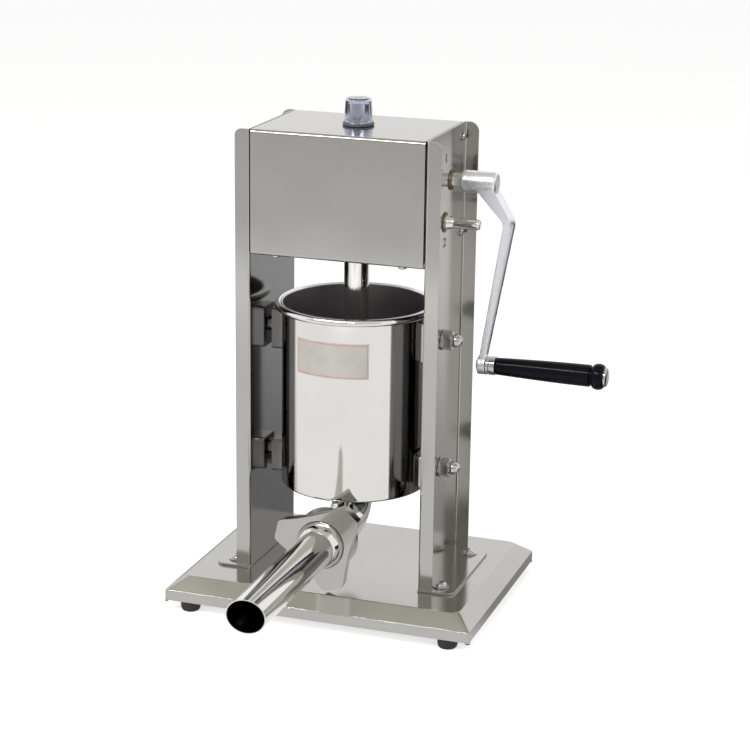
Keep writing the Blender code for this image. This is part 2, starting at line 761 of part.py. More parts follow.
def gearbox_cover(stand):
    lip = POST_HALF - COVER_SHEET - COVER_LIP
    path = [
        (lip, COVER_BOTTOM),
        (POST_HALF, COVER_BOTTOM),
        (POST_HALF, COVER_TOP),
        (-POST_HALF, COVER_TOP),
        (-POST_HALF, COVER_BOTTOM),
        (-lip, COVER_BOTTOM),
    ]
    outline = strip(path, COVER_SHEET, COVER_BEND)
    shell = prism(outline, -COVER_HALF_WIDTH, COVER_HALF_WIDTH, "YZ")
    cover = piece("gearbox_cover", shell, "brushed", stand)
    low, high = COVER_BOTTOM - OVERRUN, FRAME_BOTTOM
    screws = pins(cover_screw_spots(), SCREW_RADIUS + FIT, low, high, "XY", SCREW_SIDES)
    ends = (COVER_TOP - COVER_SHEET - OVERRUN, COVER_TOP + OVERRUN)
    guide = pins([(0, 0)], GUIDE_BODY + FIT, *ends, "XY", ROUND_SIDES)
    cut(cover, tool("cut_cover_screw_holes", screws, stand))
    cut(cover, tool("cut_cover_guide_hole", guide, stand))


def cover_screw_spots():
    return [
        (sx * COVER_SCREW_X, sy * COVER_SCREW_Y) for sy in (-1, 1) for sx in (-1, 1)
    ]


def case_screw_spots():
    return [
        (CASE_SCREW_Y, COVER_BOTTOM + CASE_SCREW_END),
        (CASE_SCREW_Y, COVER_TOP - CASE_SCREW_END),
    ]


def pedestal():
    """The upright that carries the inner end of the slow shaft, rounded over its bush."""
    y, z = SLOW_AXIS_Y, SLOW_Z
    root = FRAME_FLOOR - FRAME_SHEET / 2
    head = arc((y, z), PEDESTAL_HEAD, 0, math.pi, 2 * CORNER_STEPS)
    outline = [(y - PEDESTAL_HALF_DEPTH, root), (y + PEDESTAL_HALF_DEPTH, root), *head]
    return prism(outline, PEDESTAL_X, PEDESTAL_X + FRAME_SHEET, "YZ")


def gear_frame(stand):
    """Folded floor and sides, with the pedestal of the slow shaft welded to the floor."""
    path = [
        (-FRAME_OUTER, FRAME_TOP),
        (-FRAME_OUTER, FRAME_BOTTOM),
        (FRAME_OUTER, FRAME_BOTTOM),
        (FRAME_OUTER, FRAME_TOP),
    ]
    outline = strip(path, FRAME_SHEET, FRAME_BEND)
    shell = prism(outline, -FRAME_HALF_DEPTH, FRAME_HALF_DEPTH, "XZ")
    frame = piece("gear_frame", shell, "machined", stand)
    fuse(frame, tool("add_frame_pedestal", pedestal(), stand))
    y = SLOW_AXIS_Y
    half = PEDESTAL_HALF_DEPTH - FRAME_BEND
    shoe = prism(
        rectangle(PEDESTAL_X + FIT, y - half, PEDESTAL_X + PEDESTAL_FOOT, y + half),
        FRAME_FLOOR - FRAME_SHEET / 2,
        FRAME_FLOOR + FRAME_SHEET,
        "XY",
    )
    fuse(frame, tool("add_frame_shoe", shoe, stand))
    low, high = FRAME_BOTTOM - OVERRUN, FRAME_FLOOR + OVERRUN
    screws = pins(cover_screw_spots(), SCREW_RADIUS + FIT, low, high, "XY", SCREW_SIDES)
    guide = pins([(0, 0)], FLOOR_GUIDE_BODY + FIT, low, high, "XY", ROUND_SIDES)
    inner = (
        PEDESTAL_X - OVERRUN,
        PEDESTAL_X + FRAME_SHEET + OVERRUN,
    )
    slow = [(SLOW_AXIS_Y, SLOW_Z)]
    inner_bush = pins(slow, INNER_BUSH_BODY + FIT, *inner, "YZ")
    cut(frame, tool("cut_frame_screw_holes", screws, stand))
    cut(frame, tool("cut_frame_guide_hole", guide, stand))
    cut(frame, tool("cut_frame_pedestal_hole", inner_bush, stand))
    for name, side, bushes in (
        ("left", -1, drive_bush_holes()),
        ("right", 1, drive_bush_holes() + slow),
    ):
        ends = sorted(side * x for x in (FRAME_INNER - OVERRUN, FRAME_OUTER + OVERRUN))
        case = pins(case_screw_spots(), SCREW_RADIUS + FIT, *ends, "YZ", SCREW_SIDES)
        holes = pins(bushes, BUSH_BODY + FIT, *ends, "YZ")
        cut(frame, tool(f"cut_frame_{name}_screw_holes", case, stand))
        cut(frame, tool(f"cut_frame_{name}_bush_holes", holes, stand))


def drive_bush_holes():
    return [(DRIVE_Y, DRIVE_Z)]


def pan_screw(length):
    """A pan-head screw along Z, head down, with the underside of its head at Z = 0."""
    head, rise = SCREW_HEAD, SCREW_HEAD_HEIGHT
    profile = [
        (0, -rise),
        (head * PAN_CROWN_SHARE, -rise),
        (head, -rise / 2),
        (head, 0),
        (SCREW_RADIUS, 0),
        (SCREW_RADIUS, length),
        (0, length),
    ]
    return turned(profile, SCREW_SIDES)


def gearbox_screws(stand):
    z = COVER_BOTTOM - FIT
    length = FRAME_FLOOR + SCREW_REACH - z
    for i, (x, y) in enumerate(cover_screw_spots(), 1):
        piece(f"cover_screw_{i}", pan_screw(length), "bright", stand, (x, y, z))
    x = WEB_OUTER + FIT
    length = x - FRAME_INNER + SCREW_REACH
    for name, side in (("left", -1), ("right", 1)):
        turn = (0, -side * math.pi / 2, 0)
        for level_name, (y, z) in zip(("lower", "upper"), case_screw_spots()):
            label = f"case_screw_{name}_{level_name}"
            spot = (side * x, y, z)
            piece(label, pan_screw(length), "bright", stand, spot, turn)


# Gears


def involute(angle):
    return math.tan(angle) - angle


def gear_outline(teeth, phase):
    """Involute teeth, with the middle of one tooth at the angle phase."""
    pitch = MODULE * teeth / 2
    base = pitch * math.cos(PRESSURE_ANGLE)
    tip = pitch + ADDENDUM_SHARE * MODULE
    root = pitch - DEDENDUM_SHARE * MODULE
    half = math.pi / (2 * teeth) - BACKLASH / (2 * pitch) + involute(PRESSURE_ANGLE)
    start = max(base, root)
    flank = [(root, half)] if root < base else []
    for i in range(FLANK_POINTS):
        radius = start + (tip - start) * i / (FLANK_POINTS - 1)
        flank.append((radius, half - involute(math.acos(min(1, base / radius)))))
    outline = []
    for tooth in range(teeth):
        middle = phase + math.tau * tooth / teeth
        sides = [(r, middle - a) for r, a in flank]
        sides += [(r, middle + a) for r, a in flank[::-1]]
        outline += [(r * math.cos(a), r * math.sin(a)) for r, a in sides]
    return outline


def keyed_bore(name, radius, flat, start, end, parent):
    """A bore along X with the two flats of the shaft that it takes."""
    outline = flatted(radius + FIT, flat + FIT, SMALL_SIDES)
    return tool(name, prism(outline, start, end, "YZ"), parent)


def rack_pinion(crank):
    half = RACK_PINION_WIDTH / 2
    outline = gear_outline(RACK_PINION_TEETH, math.pi)
    made = piece("rack_pinion", prism(outline, -half, half, "YZ"), "machined", crank)
    ends = (-half - OVERRUN, half + OVERRUN)
    cut(made, keyed_bore("cut_rack_pinion_bore", SHAFT_RADIUS, SHAFT_FLAT, *ends, crank))


def wheel_line():
    """The angle from the drive shaft to the slow shaft, seen along X."""
    return math.atan2(SLOW_Z - DRIVE_Z, SLOW_AXIS_Y - DRIVE_Y)


def bull_gear(crank):
    """The large wheel: a rim, a thinner web and a hub that stands out on both sides."""
    x = WHEEL_X
    half = WHEEL_WIDTH / 2
    outline = gear_outline(WHEEL_TEETH, wheel_line())
    made = piece("bull_gear", prism(outline, x - half, x + half, "YZ"), "machined", crank)
    inside = WHEEL_RADIUS - DEDENDUM_SHARE * MODULE - WHEEL_RIM
    for name, side in (("inner", -1), ("outer", 1)):
        near, far = sorted((side * (half - WHEEL_RECESS), side * (half + OVERRUN)))
        ring = [(WHEEL_HUB, near), (inside, near), (inside, far), (WHEEL_HUB, far)]
        shape = turned(ring, SMALL_SIDES)
        cut(made, tool(f"cut_bull_gear_{name}_web", shape, crank, (x, 0, 0), ALONG_X))
    hub_half = WHEEL_HUB_WIDTH / 2
    hub = [(0, -hub_half), (WHEEL_HUB, -hub_half), (WHEEL_HUB, hub_half), (0, hub_half)]
    shape = turned(hub, SMALL_SIDES)
    fuse(made, tool("add_bull_gear_hub", shape, crank, (x, 0, 0), ALONG_X))
    ends = (x - hub_half - OVERRUN, x + hub_half + OVERRUN)
    cut(made, keyed_bore("cut_bull_gear_bore", SHAFT_RADIUS, SHAFT_FLAT, *ends, crank))


def slow_pinion(slow):
    x = WHEEL_X
    half = SLOW_PINION_WIDTH / 2
    phase = wheel_line() + math.pi + math.pi / SLOW_PINION_TEETH
    outline = gear_outline(SLOW_PINION_TEETH, phase)
    made = piece("slow_pinion", prism(outline, x - half, x + half, "YZ"), "machined", slow)
    ends = (x - half - OVERRUN, x + half + OVERRUN)
    cut(made, keyed_bore("cut_slow_pinion_bore", SLOW_ROD, SLOW_FLAT, *ends, slow))


# Shafts and bushes


def drive_shaft(crank):
    """Round in its bushes, flatted in the two gears and in the crank's hub."""
    r, flat, chamfer = SHAFT_RADIUS, SHAFT_FLAT, SHAFT_CHAMFER
    left = -WEB_OUTER - BUSH_PROUD
    right = HUB_START + HUB_BORE_DEPTH
    seat_start = -RACK_PINION_WIDTH / 2 - SEAT_MARGIN
    seat_end = WHEEL_X + WHEEL_HUB_WIDTH / 2 + SEAT_MARGIN
    stub = WEB_OUTER + BUSH_PROUD + SEAT_MARGIN
    stations = [
        (left, r - chamfer, r),
        (left + chamfer, r, r),
        (seat_start, r, r),
        (seat_start, r, flat),
        (seat_end, r, flat),
        (seat_end, r, r),
        (stub, r, r),
        (stub, r, flat),
        (right - chamfer, r, flat),
        (right, r - chamfer, flat - chamfer),
    ]
    piece("drive_shaft", bar(stations, SMALL_SIDES), "polished", crank)


def slow_shaft(slow):
    """Carries the small pinion, and ends in the plain stub that takes the crank for slow work."""
    rod, flat, journal = SLOW_ROD, SLOW_FLAT, SLOW_JOURNAL
    left = PEDESTAL_X - 2 * BUSH_FLANGE_WIDTH
    seat = SLOW_PINION_WIDTH / 2 + SEAT_MARGIN
    cone = WEB_OUTER + BUSH_PROUD
    tip = WEB_OUTER + SLOW_STUB_REACH
    stations = [
        (left, rod, rod),
        (WHEEL_X - seat, rod, rod),
        (WHEEL_X - seat, rod, flat),
        (WHEEL_X + seat, rod, flat),
        (WHEEL_X + seat, journal, journal),
        (cone, journal, journal),
        (cone + SLOW_CONE_LENGTH, rod, rod),
        (tip - SLOW_TIP_ROUND, rod, rod),
        (tip - SLOW_TIP_ROUND / 3, rod - SLOW_TIP_ROUND / 3, rod),
        (tip, rod - SLOW_TIP_ROUND, rod),
    ]
    piece("slow_shaft", bar(stations, SMALL_SIDES), "polished", slow)


def bush(name, bore, body, flange, near, seat, far, look, stand, spot):
    """A flanged bush along X. Its flange lies from near to seat, and its body runs to far."""
    profile = [
        (bore, near),
        (flange, near),
        (flange, seat),
        (body, seat),
        (body, far),
        (bore, far),
    ]
    piece(name, turned(profile, SMALL_SIDES), look, stand, (0, *spot), ALONG_X)


def bushes(stand):
    seat = FRAME_INNER - FIT
    near = seat - BUSH_FLANGE_WIDTH
    far = WEB_OUTER + BUSH_PROUD
    drive = (DRIVE_Y, DRIVE_Z)
    slow = (SLOW_AXIS_Y, SLOW_Z)
    sizes = (SHAFT_RADIUS + FIT, BUSH_BODY, BUSH_FLANGE)
    bush("right_bush", *sizes, near, seat, far, "bronze", stand, drive)
    bush("left_bush", *sizes, -near, -seat, -far, "bronze", stand, drive)
    sizes = (SLOW_JOURNAL + FIT, BUSH_BODY, BUSH_FLANGE)
    bush("slow_outer_bush", *sizes, near, seat, far - SHAFT_CHAMFER, "bronze", stand, slow)
    sizes = (SLOW_ROD + FIT, INNER_BUSH_BODY, INNER_BUSH_FLANGE)
    seat = PEDESTAL_X + FRAME_SHEET + FIT
    near = seat + BUSH_FLANGE_WIDTH
    far = PEDESTAL_X - BUSH_PROUD
    bush("slow_inner_bush", *sizes, near, seat, far, "bronze", stand, slow)


# Rack bar, guides, cap and piston


def rack_teeth():
    """The comb that cuts the rack: everything behind the tips, with a point into each gap."""
    pitch = math.pi * MODULE
    tip = RACK_PITCH_LINE + ADDENDUM_SHARE * MODULE
    root = RACK_PITCH_LINE - DEDENDUM_SHARE * MODULE
    lean = math.tan(PRESSURE_ANGLE)
    half = (pitch / 2 + BACKLASH) / 2
    above = math.ceil(RACK_MARGIN / pitch)
    below = math.ceil((TRAVEL + RACK_MARGIN) / pitch)
    wide = half + ADDENDUM_SHARE * MODULE * lean
    narrow = half - DEDENDUM_SHARE * MODULE * lean
    back = ROD_RADIUS + OVERRUN
    comb = [(back, DRIVE_Z - below * pitch - wide)]
    for gap in range(-below, above + 1):
        z = DRIVE_Z + gap * pitch
        comb += [(tip, z - wide), (root, z - narrow), (root, z + narrow), (tip, z + wide)]
    comb.append((back, DRIVE_Z + above * pitch + wide))
    return prism(comb, -ROD_RADIUS - OVERRUN, ROD_RADIUS + OVERRUN, "YZ")


def rack_bar(rack):
    """A round bar with teeth down its back, a tail through the piston and a spigot in the cap."""
    bottom = PISTON_TOP + FIT
    tail = PISTON_BOTTOM + FIT
    top = GUIDE_TOP
    spigot = top + ROD_SPIGOT_HEIGHT
    profile = [
        (0, tail),
        (ROD_TAIL, tail),
        (ROD_TAIL, bottom),
        (ROD_RADIUS, bottom),
        (ROD_RADIUS, top),
        (ROD_SPIGOT, top),
        (ROD_SPIGOT, spigot - ROD_CHAMFER),
        (ROD_SPIGOT - ROD_CHAMFER, spigot),
        (0, spigot),
    ]
    made = piece("rack_bar", turned(profile, ROUND_SIDES), "machined", rack)
    cut(made, tool("cut_rack_teeth", rack_teeth(), rack))


def guide_bushes(stand):
    bore = ROD_RADIUS + FIT
    seat = COVER_TOP + FIT
    profile = [
        (bore, COVER_TOP - GUIDE_BODY_DEPTH),
        (GUIDE_BODY, COVER_TOP - GUIDE_BODY_DEPTH),
        (GUIDE_BODY, seat),
        (GUIDE_FLANGE, seat),
        (GUIDE_FLANGE, GUIDE_TOP),
        (bore, GUIDE_TOP),
    ]
    piece("top_guide_bush", turned(profile, ROUND_SIDES), "black", stand)
    seat = FRAME_FLOOR + FIT
    low = FRAME_BOTTOM - FLOOR_GUIDE_PROUD
    top = seat + FLOOR_GUIDE_FLANGE_HEIGHT
    profile = [
        (bore, low),
        (FLOOR_GUIDE_BODY, low),
        (FLOOR_GUIDE_BODY, seat),
        (FLOOR_GUIDE_FLANGE, seat),
        (FLOOR_GUIDE_FLANGE, top),
        (bore, top),
    ]
    piece("floor_guide_bush", turned(profile, ROUND_SIDES), "nylon", stand)


def rack_cap(cap):
    """A clear cap that seats by its bottom ring on the shoulder of the rack."""
    top = CAP_BOTTOM + CAP_HEIGHT
    ring = CAP_BOTTOM + CAP_RING_HEIGHT
    inner_low = CAP_BOTTOM_RADIUS - CAP_WALL
    inner_top = CAP_TOP_RADIUS - CAP_WALL
    centre = (CAP_TOP_RADIUS - CAP_ROUND, top - CAP_ROUND)
    crown = arc(centre, CAP_ROUND, 0, math.pi / 2, CORNER_STEPS)
    profile = [
        (0, top - CAP_WALL),
        (inner_top, top - CAP_WALL),
        (inner_low, ring),
        (ROD_SPIGOT + FIT, ring),
        (ROD_SPIGOT + FIT, CAP_BOTTOM),
        (CAP_BOTTOM_RADIUS, CAP_BOTTOM),
        *crown,
        (0, top),
    ]
    piece("rack_cap", turned(profile, ROUND_SIDES), "clear", cap)


def piston(rack):
    bottom, top, radius = PISTON_BOTTOM, PISTON_TOP, PISTON_RADIUS
    edge = PISTON_CHAMFER
    middle = (bottom + top) / 2
    groove = SEAL_HEIGHT / 2 + FIT
    floor = radius - SEAL_GROOVE
    recess = bottom + PISTON_RECESS_DEPTH
    bore = ROD_TAIL + FIT
    profile = [
        (bore, top),
        (radius - edge, top),
        (radius, top - edge),
        (radius, middle + groove),
        (floor, middle + groove),
        (floor, middle - groove),
        (radius, middle - groove),
        (radius, bottom + edge),
        (radius - edge, bottom),
        (PISTON_RECESS, bottom),
        (PISTON_RECESS, recess),
        (bore, recess),
    ]
    piece("piston", turned(profile, PISTON_SIDES), "nylon", rack)
    outer = CYLINDER_RADIUS - CYLINDER_WALL - SEAL_WALL_GAP
    half = SEAL_HEIGHT / 2
    inner = floor + FIT
    seal = [
        (inner, middle - half),
        (outer, middle - half),
        (outer, middle + half),
        (inner, middle + half),
    ]
    piece("piston_seal", turned(seal, PISTON_SIDES), "silicone", rack)
    high = recess - FIT
    low = high - PISTON_NUT_HEIGHT
    sides = NUT_SIDES
    outline = hexagon(PISTON_NUT, sides, PISTON_NUT)
    hole = circle(bore, sides)
    rings = [level(outline, low), level(outline, high), level(hole, high), level(hole, low)]
    piece("piston_nut", skinned(rings, looped=True), "bright", rack)


# Cylinder, studs and spout


def can_profile():
    """Half the section of the can, from its outlet round the outside to the rim and back inside."""
    r, wall = CYLINDER_RADIUS, CYLINDER_WALL
    outlet = SPOUT_RADIUS - SPOUT_WALL
    low, high = CYLINDER_BOTTOM, CYLINDER_TOP
    corner = CYLINDER_CORNER
    roll = RIM_HEIGHT / 2
    rim = r + RIM_REACH
    lower = arc((r - corner, low + corner), corner, -math.pi / 2, 0, BEND_STEPS)
    roll_centre = (rim - roll, high - roll)
    outer_roll = arc(roll_centre, roll, -math.pi / 2, math.pi / 2, 2 * BEND_STEPS)
    lip_centre = (r - wall + RIM_LIP, high - RIM_LIP)
    lip = arc(lip_centre, RIM_LIP, math.pi / 2, math.pi, 1)
    inner = [(r - wall, low + corner), (r - corner, low + wall)]
    start, end = (outlet, low), (outlet, low + wall)
    return [start, *lower, (r, high - RIM_HEIGHT), *outer_roll, *lip, *inner, end]


def block(stand, name, side, stud_z, above, below, open_way):
    """A slotted block for one stud, with a back that follows the can."""
    near = CYLINDER_RADIUS / 2
    far = WEB_INNER - STUD_COLLAR_LENGTH - FIT - BLOCK_TO_COLLAR
    half = BLOCK_HALF_DEPTH
    corner = BLOCK_WELD * 6
    middle = stud_z + (above - below) / 2
    tall = (above + below) / 2
    face = rounded_rectangle(half, tall, corner, BEND_STEPS)
    outline = [(y, z + middle) for y, z in face]
    ends = sorted((side * near, side * far))
    made = tool("add_" + name, prism(outline, *ends, "YZ"), stand)
    core = CYLINDER_RADIUS - BLOCK_WELD
    core_profile = [
        (0, stud_z - below - OVERRUN),
        (core, stud_z - below - OVERRUN),
        (core, stud_z + above + OVERRUN),
        (0, stud_z + above + OVERRUN),
    ]
    cut(made, tool(f"cut_{name}_back", turned(core_profile, CAN_SIDES), stand))
    slot = STUD_RADIUS + FIT
    if open_way == "rear":
        round_end = arc((0, stud_z), slot, math.pi / 2, math.pi * 3 / 2, 2 * CORNER_STEPS)
        reach = half + OVERRUN
        outline = [*round_end, (reach, stud_z - slot), (reach, stud_z + slot)]
    else:
        round_end = arc((0, stud_z), slot, 0, math.pi, 2 * CORNER_STEPS)
        reach = stud_z - below - OVERRUN
        outline = [*round_end, (-slot, reach), (slot, reach)]
    start = CYLINDER_RADIUS + BLOCK_WELD
    ends = sorted((side * start, side * (far + OVERRUN)))
    cut(made, tool(f"cut_{name}_slot", prism(outline, *ends, "YZ"), stand))
    return made


def cylinder(stand):
    made = piece("cylinder", turned(can_profile(), CAN_SIDES), "brushed", stand)
    upper = (UPPER_STUD_Z, UPPER_BLOCK_ABOVE, UPPER_BLOCK_BELOW, "rear")
    lower = (LOWER_STUD_Z, LOWER_BLOCK_ABOVE, LOWER_BLOCK_BELOW, "down")
    for hand, side in (("left", -1), ("right", 1)):
        for name, sizes in (("upper", upper), ("lower", lower)):
            fuse(made, block(stand, f"{hand}_{name}_block", side, *sizes))


def studs_and_nuts(stand):
    r, edge = STUD_RADIUS, STUD_CHAMFER
    start = CYLINDER_RADIUS + STUD_TO_CYLINDER
    collar = WEB_INNER - FIT
    tip = WEB_OUTER + NUT_WASHER_HEIGHT + STUD_THREAD
    stud = [
        (0, start),
        (r - edge, start),
        (r, start + edge),
        (r, collar - STUD_COLLAR_LENGTH),
        (STUD_COLLAR, collar - STUD_COLLAR_LENGTH),
        (STUD_COLLAR, collar),
        (r, collar),
        (r, tip - edge),
        (r - edge, tip),
        (0, tip),
    ]
    places = (("lower", LOWER_STUD_Z), ("upper", UPPER_STUD_Z))
    for hand, side in (("left", -1), ("right", 1)):
        turn = (0, side * math.pi / 2, 0)
        for name, z in places:
            label = f"{hand}_{name}"
            spot = (0, 0, z)
            piece(f"stud_{label}", turned(stud, SCREW_SIDES), "bright", stand, spot, turn)
            piece(f"acorn_nut_{label}", acorn_nut(tip), "bright", stand, spot, turn)


def acorn_nut(stud_tip):
    """A domed nut with its washer, along Z, with a blind bore for the stud."""
    sides = NUT_SIDES
    bore = circle(STUD_RADIUS + FIT, sides)
    low = WEB_OUTER + FIT
    washer = low + NUT_WASHER_HEIGHT
    corner = NUT_FLATS / 2 / math.cos(math.pi / 6)
    hexagon_top = washer + NUT_HEIGHT
    chamfered = hexagon(corner, sides, NUT_FLATS / 2)
    dome = []
    for i in range(CORNER_STEPS):
        a = math.pi / 2 * i / CORNER_STEPS
        ring = circle(NUT_DOME_RADIUS * math.cos(a), sides)
        dome.append(level(ring, hexagon_top + NUT_DOME_RISE * math.sin(a)))
    rings = [
        level(bore, stud_tip + FIT),
        level(bore, low),
        level(circle(NUT_WASHER, sides), low),
        level(circle(NUT_WASHER, sides), washer),
        level(hexagon(corner, sides, corner), washer),
        level(hexagon(corner, sides, corner), hexagon_top - NUT_CHAMFER),
        level(chamfered, hexagon_top),
        *dome,
    ]
    return skinned(rings)


def spout(stand):
    """The elbow from the can's outlet to the threaded collar, one open pipe."""
    top = CYLINDER_BOTTOM - FIT
    under = top - SPOUT_FLANGE_HEIGHT
    bend = under - NOZZLE_Z
    collar = COLLAR_FRONT - COLLAR_LENGTH

    def ring(radius, place):
        y, z, tilt = place
        return [
            (a, y - b * math.cos(tilt), z + b * math.sin(tilt))
            for a, b in circle(radius, PIPE_SIDES)
        ]

    path = [(0, top, 0), (0, under, 0)]
    for i in range(1, ELBOW_STEPS + 1):
        a = math.pi / 2 * i / ELBOW_STEPS
        path.append((bend * (math.cos(a) - 1), under - bend * math.sin(a), a))
    flat = math.pi / 2
    outer = [ring(SPOUT_FLANGE, path[0]), ring(SPOUT_FLANGE, path[1])]
    outer += [ring(SPOUT_RADIUS, place) for place in path[1:]]
    outer += [
        ring(SPOUT_RADIUS, (-collar + COLLAR_CONE, NOZZLE_Z, flat)),
        ring(COLLAR_RADIUS, (-collar, NOZZLE_Z, flat)),
        ring(COLLAR_RADIUS, (-COLLAR_FRONT, NOZZLE_Z, flat)),
    ]
    bore = SPOUT_RADIUS - SPOUT_WALL
    inner = [ring(bore, place) for place in path[:1] + path[2:]]
    inner.append(ring(bore, (-COLLAR_FRONT, NOZZLE_Z, flat)))
    piece("spout", skinned(outer + inner[::-1], looped=True), "polished", stand)


# Nozzle, gasket and winged nut


def nozzle_ring(radius, reach, slanted=False):
    """A ring round the nozzle's axis at Y = -reach, or leaning along the slanted mouth."""
    ring = []
    for a, b in circle(radius, PIPE_SIDES):
        lean = a * MOUTH_SLOPE_X + b * MOUTH_SLOPE_Z if slanted else 0
        ring.append((a, -reach - lean, b))
    return ring


def nozzle(holder):
    wall = NOZZLE_WALL
    shoulder = FLANGE_FRONT + NOZZLE_SHOULDER_LENGTH
    drop = NOZZLE_SHOULDER - NOZZLE_RADIUS
    outer = [
        nozzle_ring(NOZZLE_FLANGE, FLANGE_BACK),
        nozzle_ring(NOZZLE_FLANGE, FLANGE_FRONT),
        nozzle_ring(NOZZLE_SHOULDER, FLANGE_FRONT),
    ]
    inner = [nozzle_ring(NOZZLE_SHOULDER - wall, FLANGE_BACK)]
    for i in range(CORNER_STEPS + 1):
        a = math.pi / 2 * i / CORNER_STEPS
        reach = shoulder + NOZZLE_DOME_LENGTH * (1 - math.cos(a)) * DOME_EASE_SHARE
        reach += NOZZLE_DOME_LENGTH * math.sin(a) * (1 - DOME_EASE_SHARE)
        radius = NOZZLE_RADIUS + drop * math.cos(a)
        outer.append(nozzle_ring(radius, reach))
        inner.append(nozzle_ring(radius - wall, reach - wall))
    outer.append(nozzle_ring(NOZZLE_RADIUS, NOZZLE_REACH, slanted=True))
    inner.append(nozzle_ring(NOZZLE_RADIUS - wall, NOZZLE_REACH, slanted=True))
    piece("nozzle", skinned(outer + inner[::-1], looped=True), "polished", holder)
    back = COLLAR_FRONT + FIT
    outside = NOZZLE_FLANGE - FIT
    inside = outside - GASKET_WIDTH
    profile = [(inside, back), (outside, back), (outside, back + GASKET), (inside, back + GASKET)]
    gasket = turned(profile, PIPE_SIDES)
    piece("nozzle_gasket", gasket, "silicone", holder, turn=ALONG_FRONT)


def wing_outline():
    """Three wings with flat, chamfered tips, joined by shallow hollow sides."""
    outline = []
    inside = NUT_TIP - NUT_TIP_CHAMFER
    for degrees in NUT_WING_ANGLES:
        turn = Matrix.Rotation(math.radians(degrees), 2)
        wing = [
            turn @ Vector((inside, -NUT_WING_HALF)),
            turn @ Vector((NUT_TIP, -NUT_TIP_HALF)),
            turn @ Vector((NUT_TIP, NUT_TIP_HALF)),
            turn @ Vector((inside, NUT_WING_HALF)),
        ]
        outline += [tuple(point) for point in wing[:3]]
        valley = math.radians(degrees + 60)
        bottom = (NUT_VALLEY * math.cos(valley), NUT_VALLEY * math.sin(valley))
        onward = Matrix.Rotation(math.radians(120), 2) @ wing[0]
        side = arc_through(tuple(wing[3]), bottom, tuple(onward), 2 * CORNER_STEPS)
        outline += side[:-1]
    return outline


def nozzle_nut(holder):
    plate_back = NUT_FRONT - NUT_PLATE
    shape = prism(wing_outline(), -NUT_FRONT, -plate_back, "XZ")
    made = piece("nozzle_nut", shape, "polished", holder)
    middle = (plate_back + NUT_FRONT) / 2
    hub = [(0, NUT_BACK), (NUT_HUB, NUT_BACK), (NUT_HUB, middle), (0, middle)]
    fuse(made, tool("add_nut_hub", turned(hub, ROUND_SIDES), holder, turn=ALONG_FRONT))
    bore = COLLAR_RADIUS + FIT
    hole = NOZZLE_SHOULDER + FIT
    profile = [
        (0, NUT_BACK - OVERRUN),
        (bore, NUT_BACK - OVERRUN),
        (bore, NUT_LIP_BACK),
        (hole, NUT_LIP_BACK),
        (hole, NUT_FRONT + OVERRUN),
        (0, NUT_FRONT + OVERRUN),
    ]
    shape = turned(profile, PIPE_SIDES)
    cut(made, tool("cut_nut_bore", shape, holder, turn=ALONG_FRONT))


# Crank and grip


def arm_section(x, z, lean, thickness, width):
    """An I section across the arm at (x, z). lean is the angle of the arm's run below +X."""
    t, w = thickness / 2, width / 2
    quarter = [(t, w), (t, w - ARM_RIM), (t - ARM_GROOVE, w - ARM_RIM - ARM_GROOVE)]
    half = quarter + [(n, -y) for n, y in quarter[::-1]]
    outline = half + [(-n, y) for n, y in half[::-1]]
    across = (math.sin(lean), math.cos(lean))
    return [(x + n * across[0], y, z + n * across[1]) for n, y in outline]


def arm_rings():
    """Sections down the dog-leg: out from the hub, round the bend and in to the boss."""
    start = Vector((HUB_START + ARM_START, 0))
    bend = Vector((HUB_START + ARM_BEND_OUT, -ARM_BEND_DROP))
    end = Vector((HUB_START + ARM_END_OUT, -CRANK_RADIUS))
    before = (bend - start).normalized()
    after = (end - bend).normalized()
    turn = before.angle(after)
    tangent = ARM_BEND_RADIUS * math.tan(turn / 2)
    first, last = bend - before * tangent, bend + after * tangent
    lean_before = math.atan2(-before.y, before.x)
    lean_after = math.atan2(-after.y, after.x)
    centre = first + Vector((before.y, -before.x)) * ARM_BEND_RADIUS
    t0, t1, t2 = ARM_THICKNESSES
    w0, w1, w2 = ARM_WIDTHS
    rings = [arm_section(*start, lean_before, t0, w0)]
    for i in range(CORNER_STEPS + 1):
        lean = lean_before + (lean_after - lean_before) * i / CORNER_STEPS
        out = Vector((math.sin(lean), math.cos(lean))) * ARM_BEND_RADIUS
        rings.append(arm_section(*(centre + out), lean, t1, w1))
    rings.append(arm_section(*end, lean_after, t2, w2))
    return rings


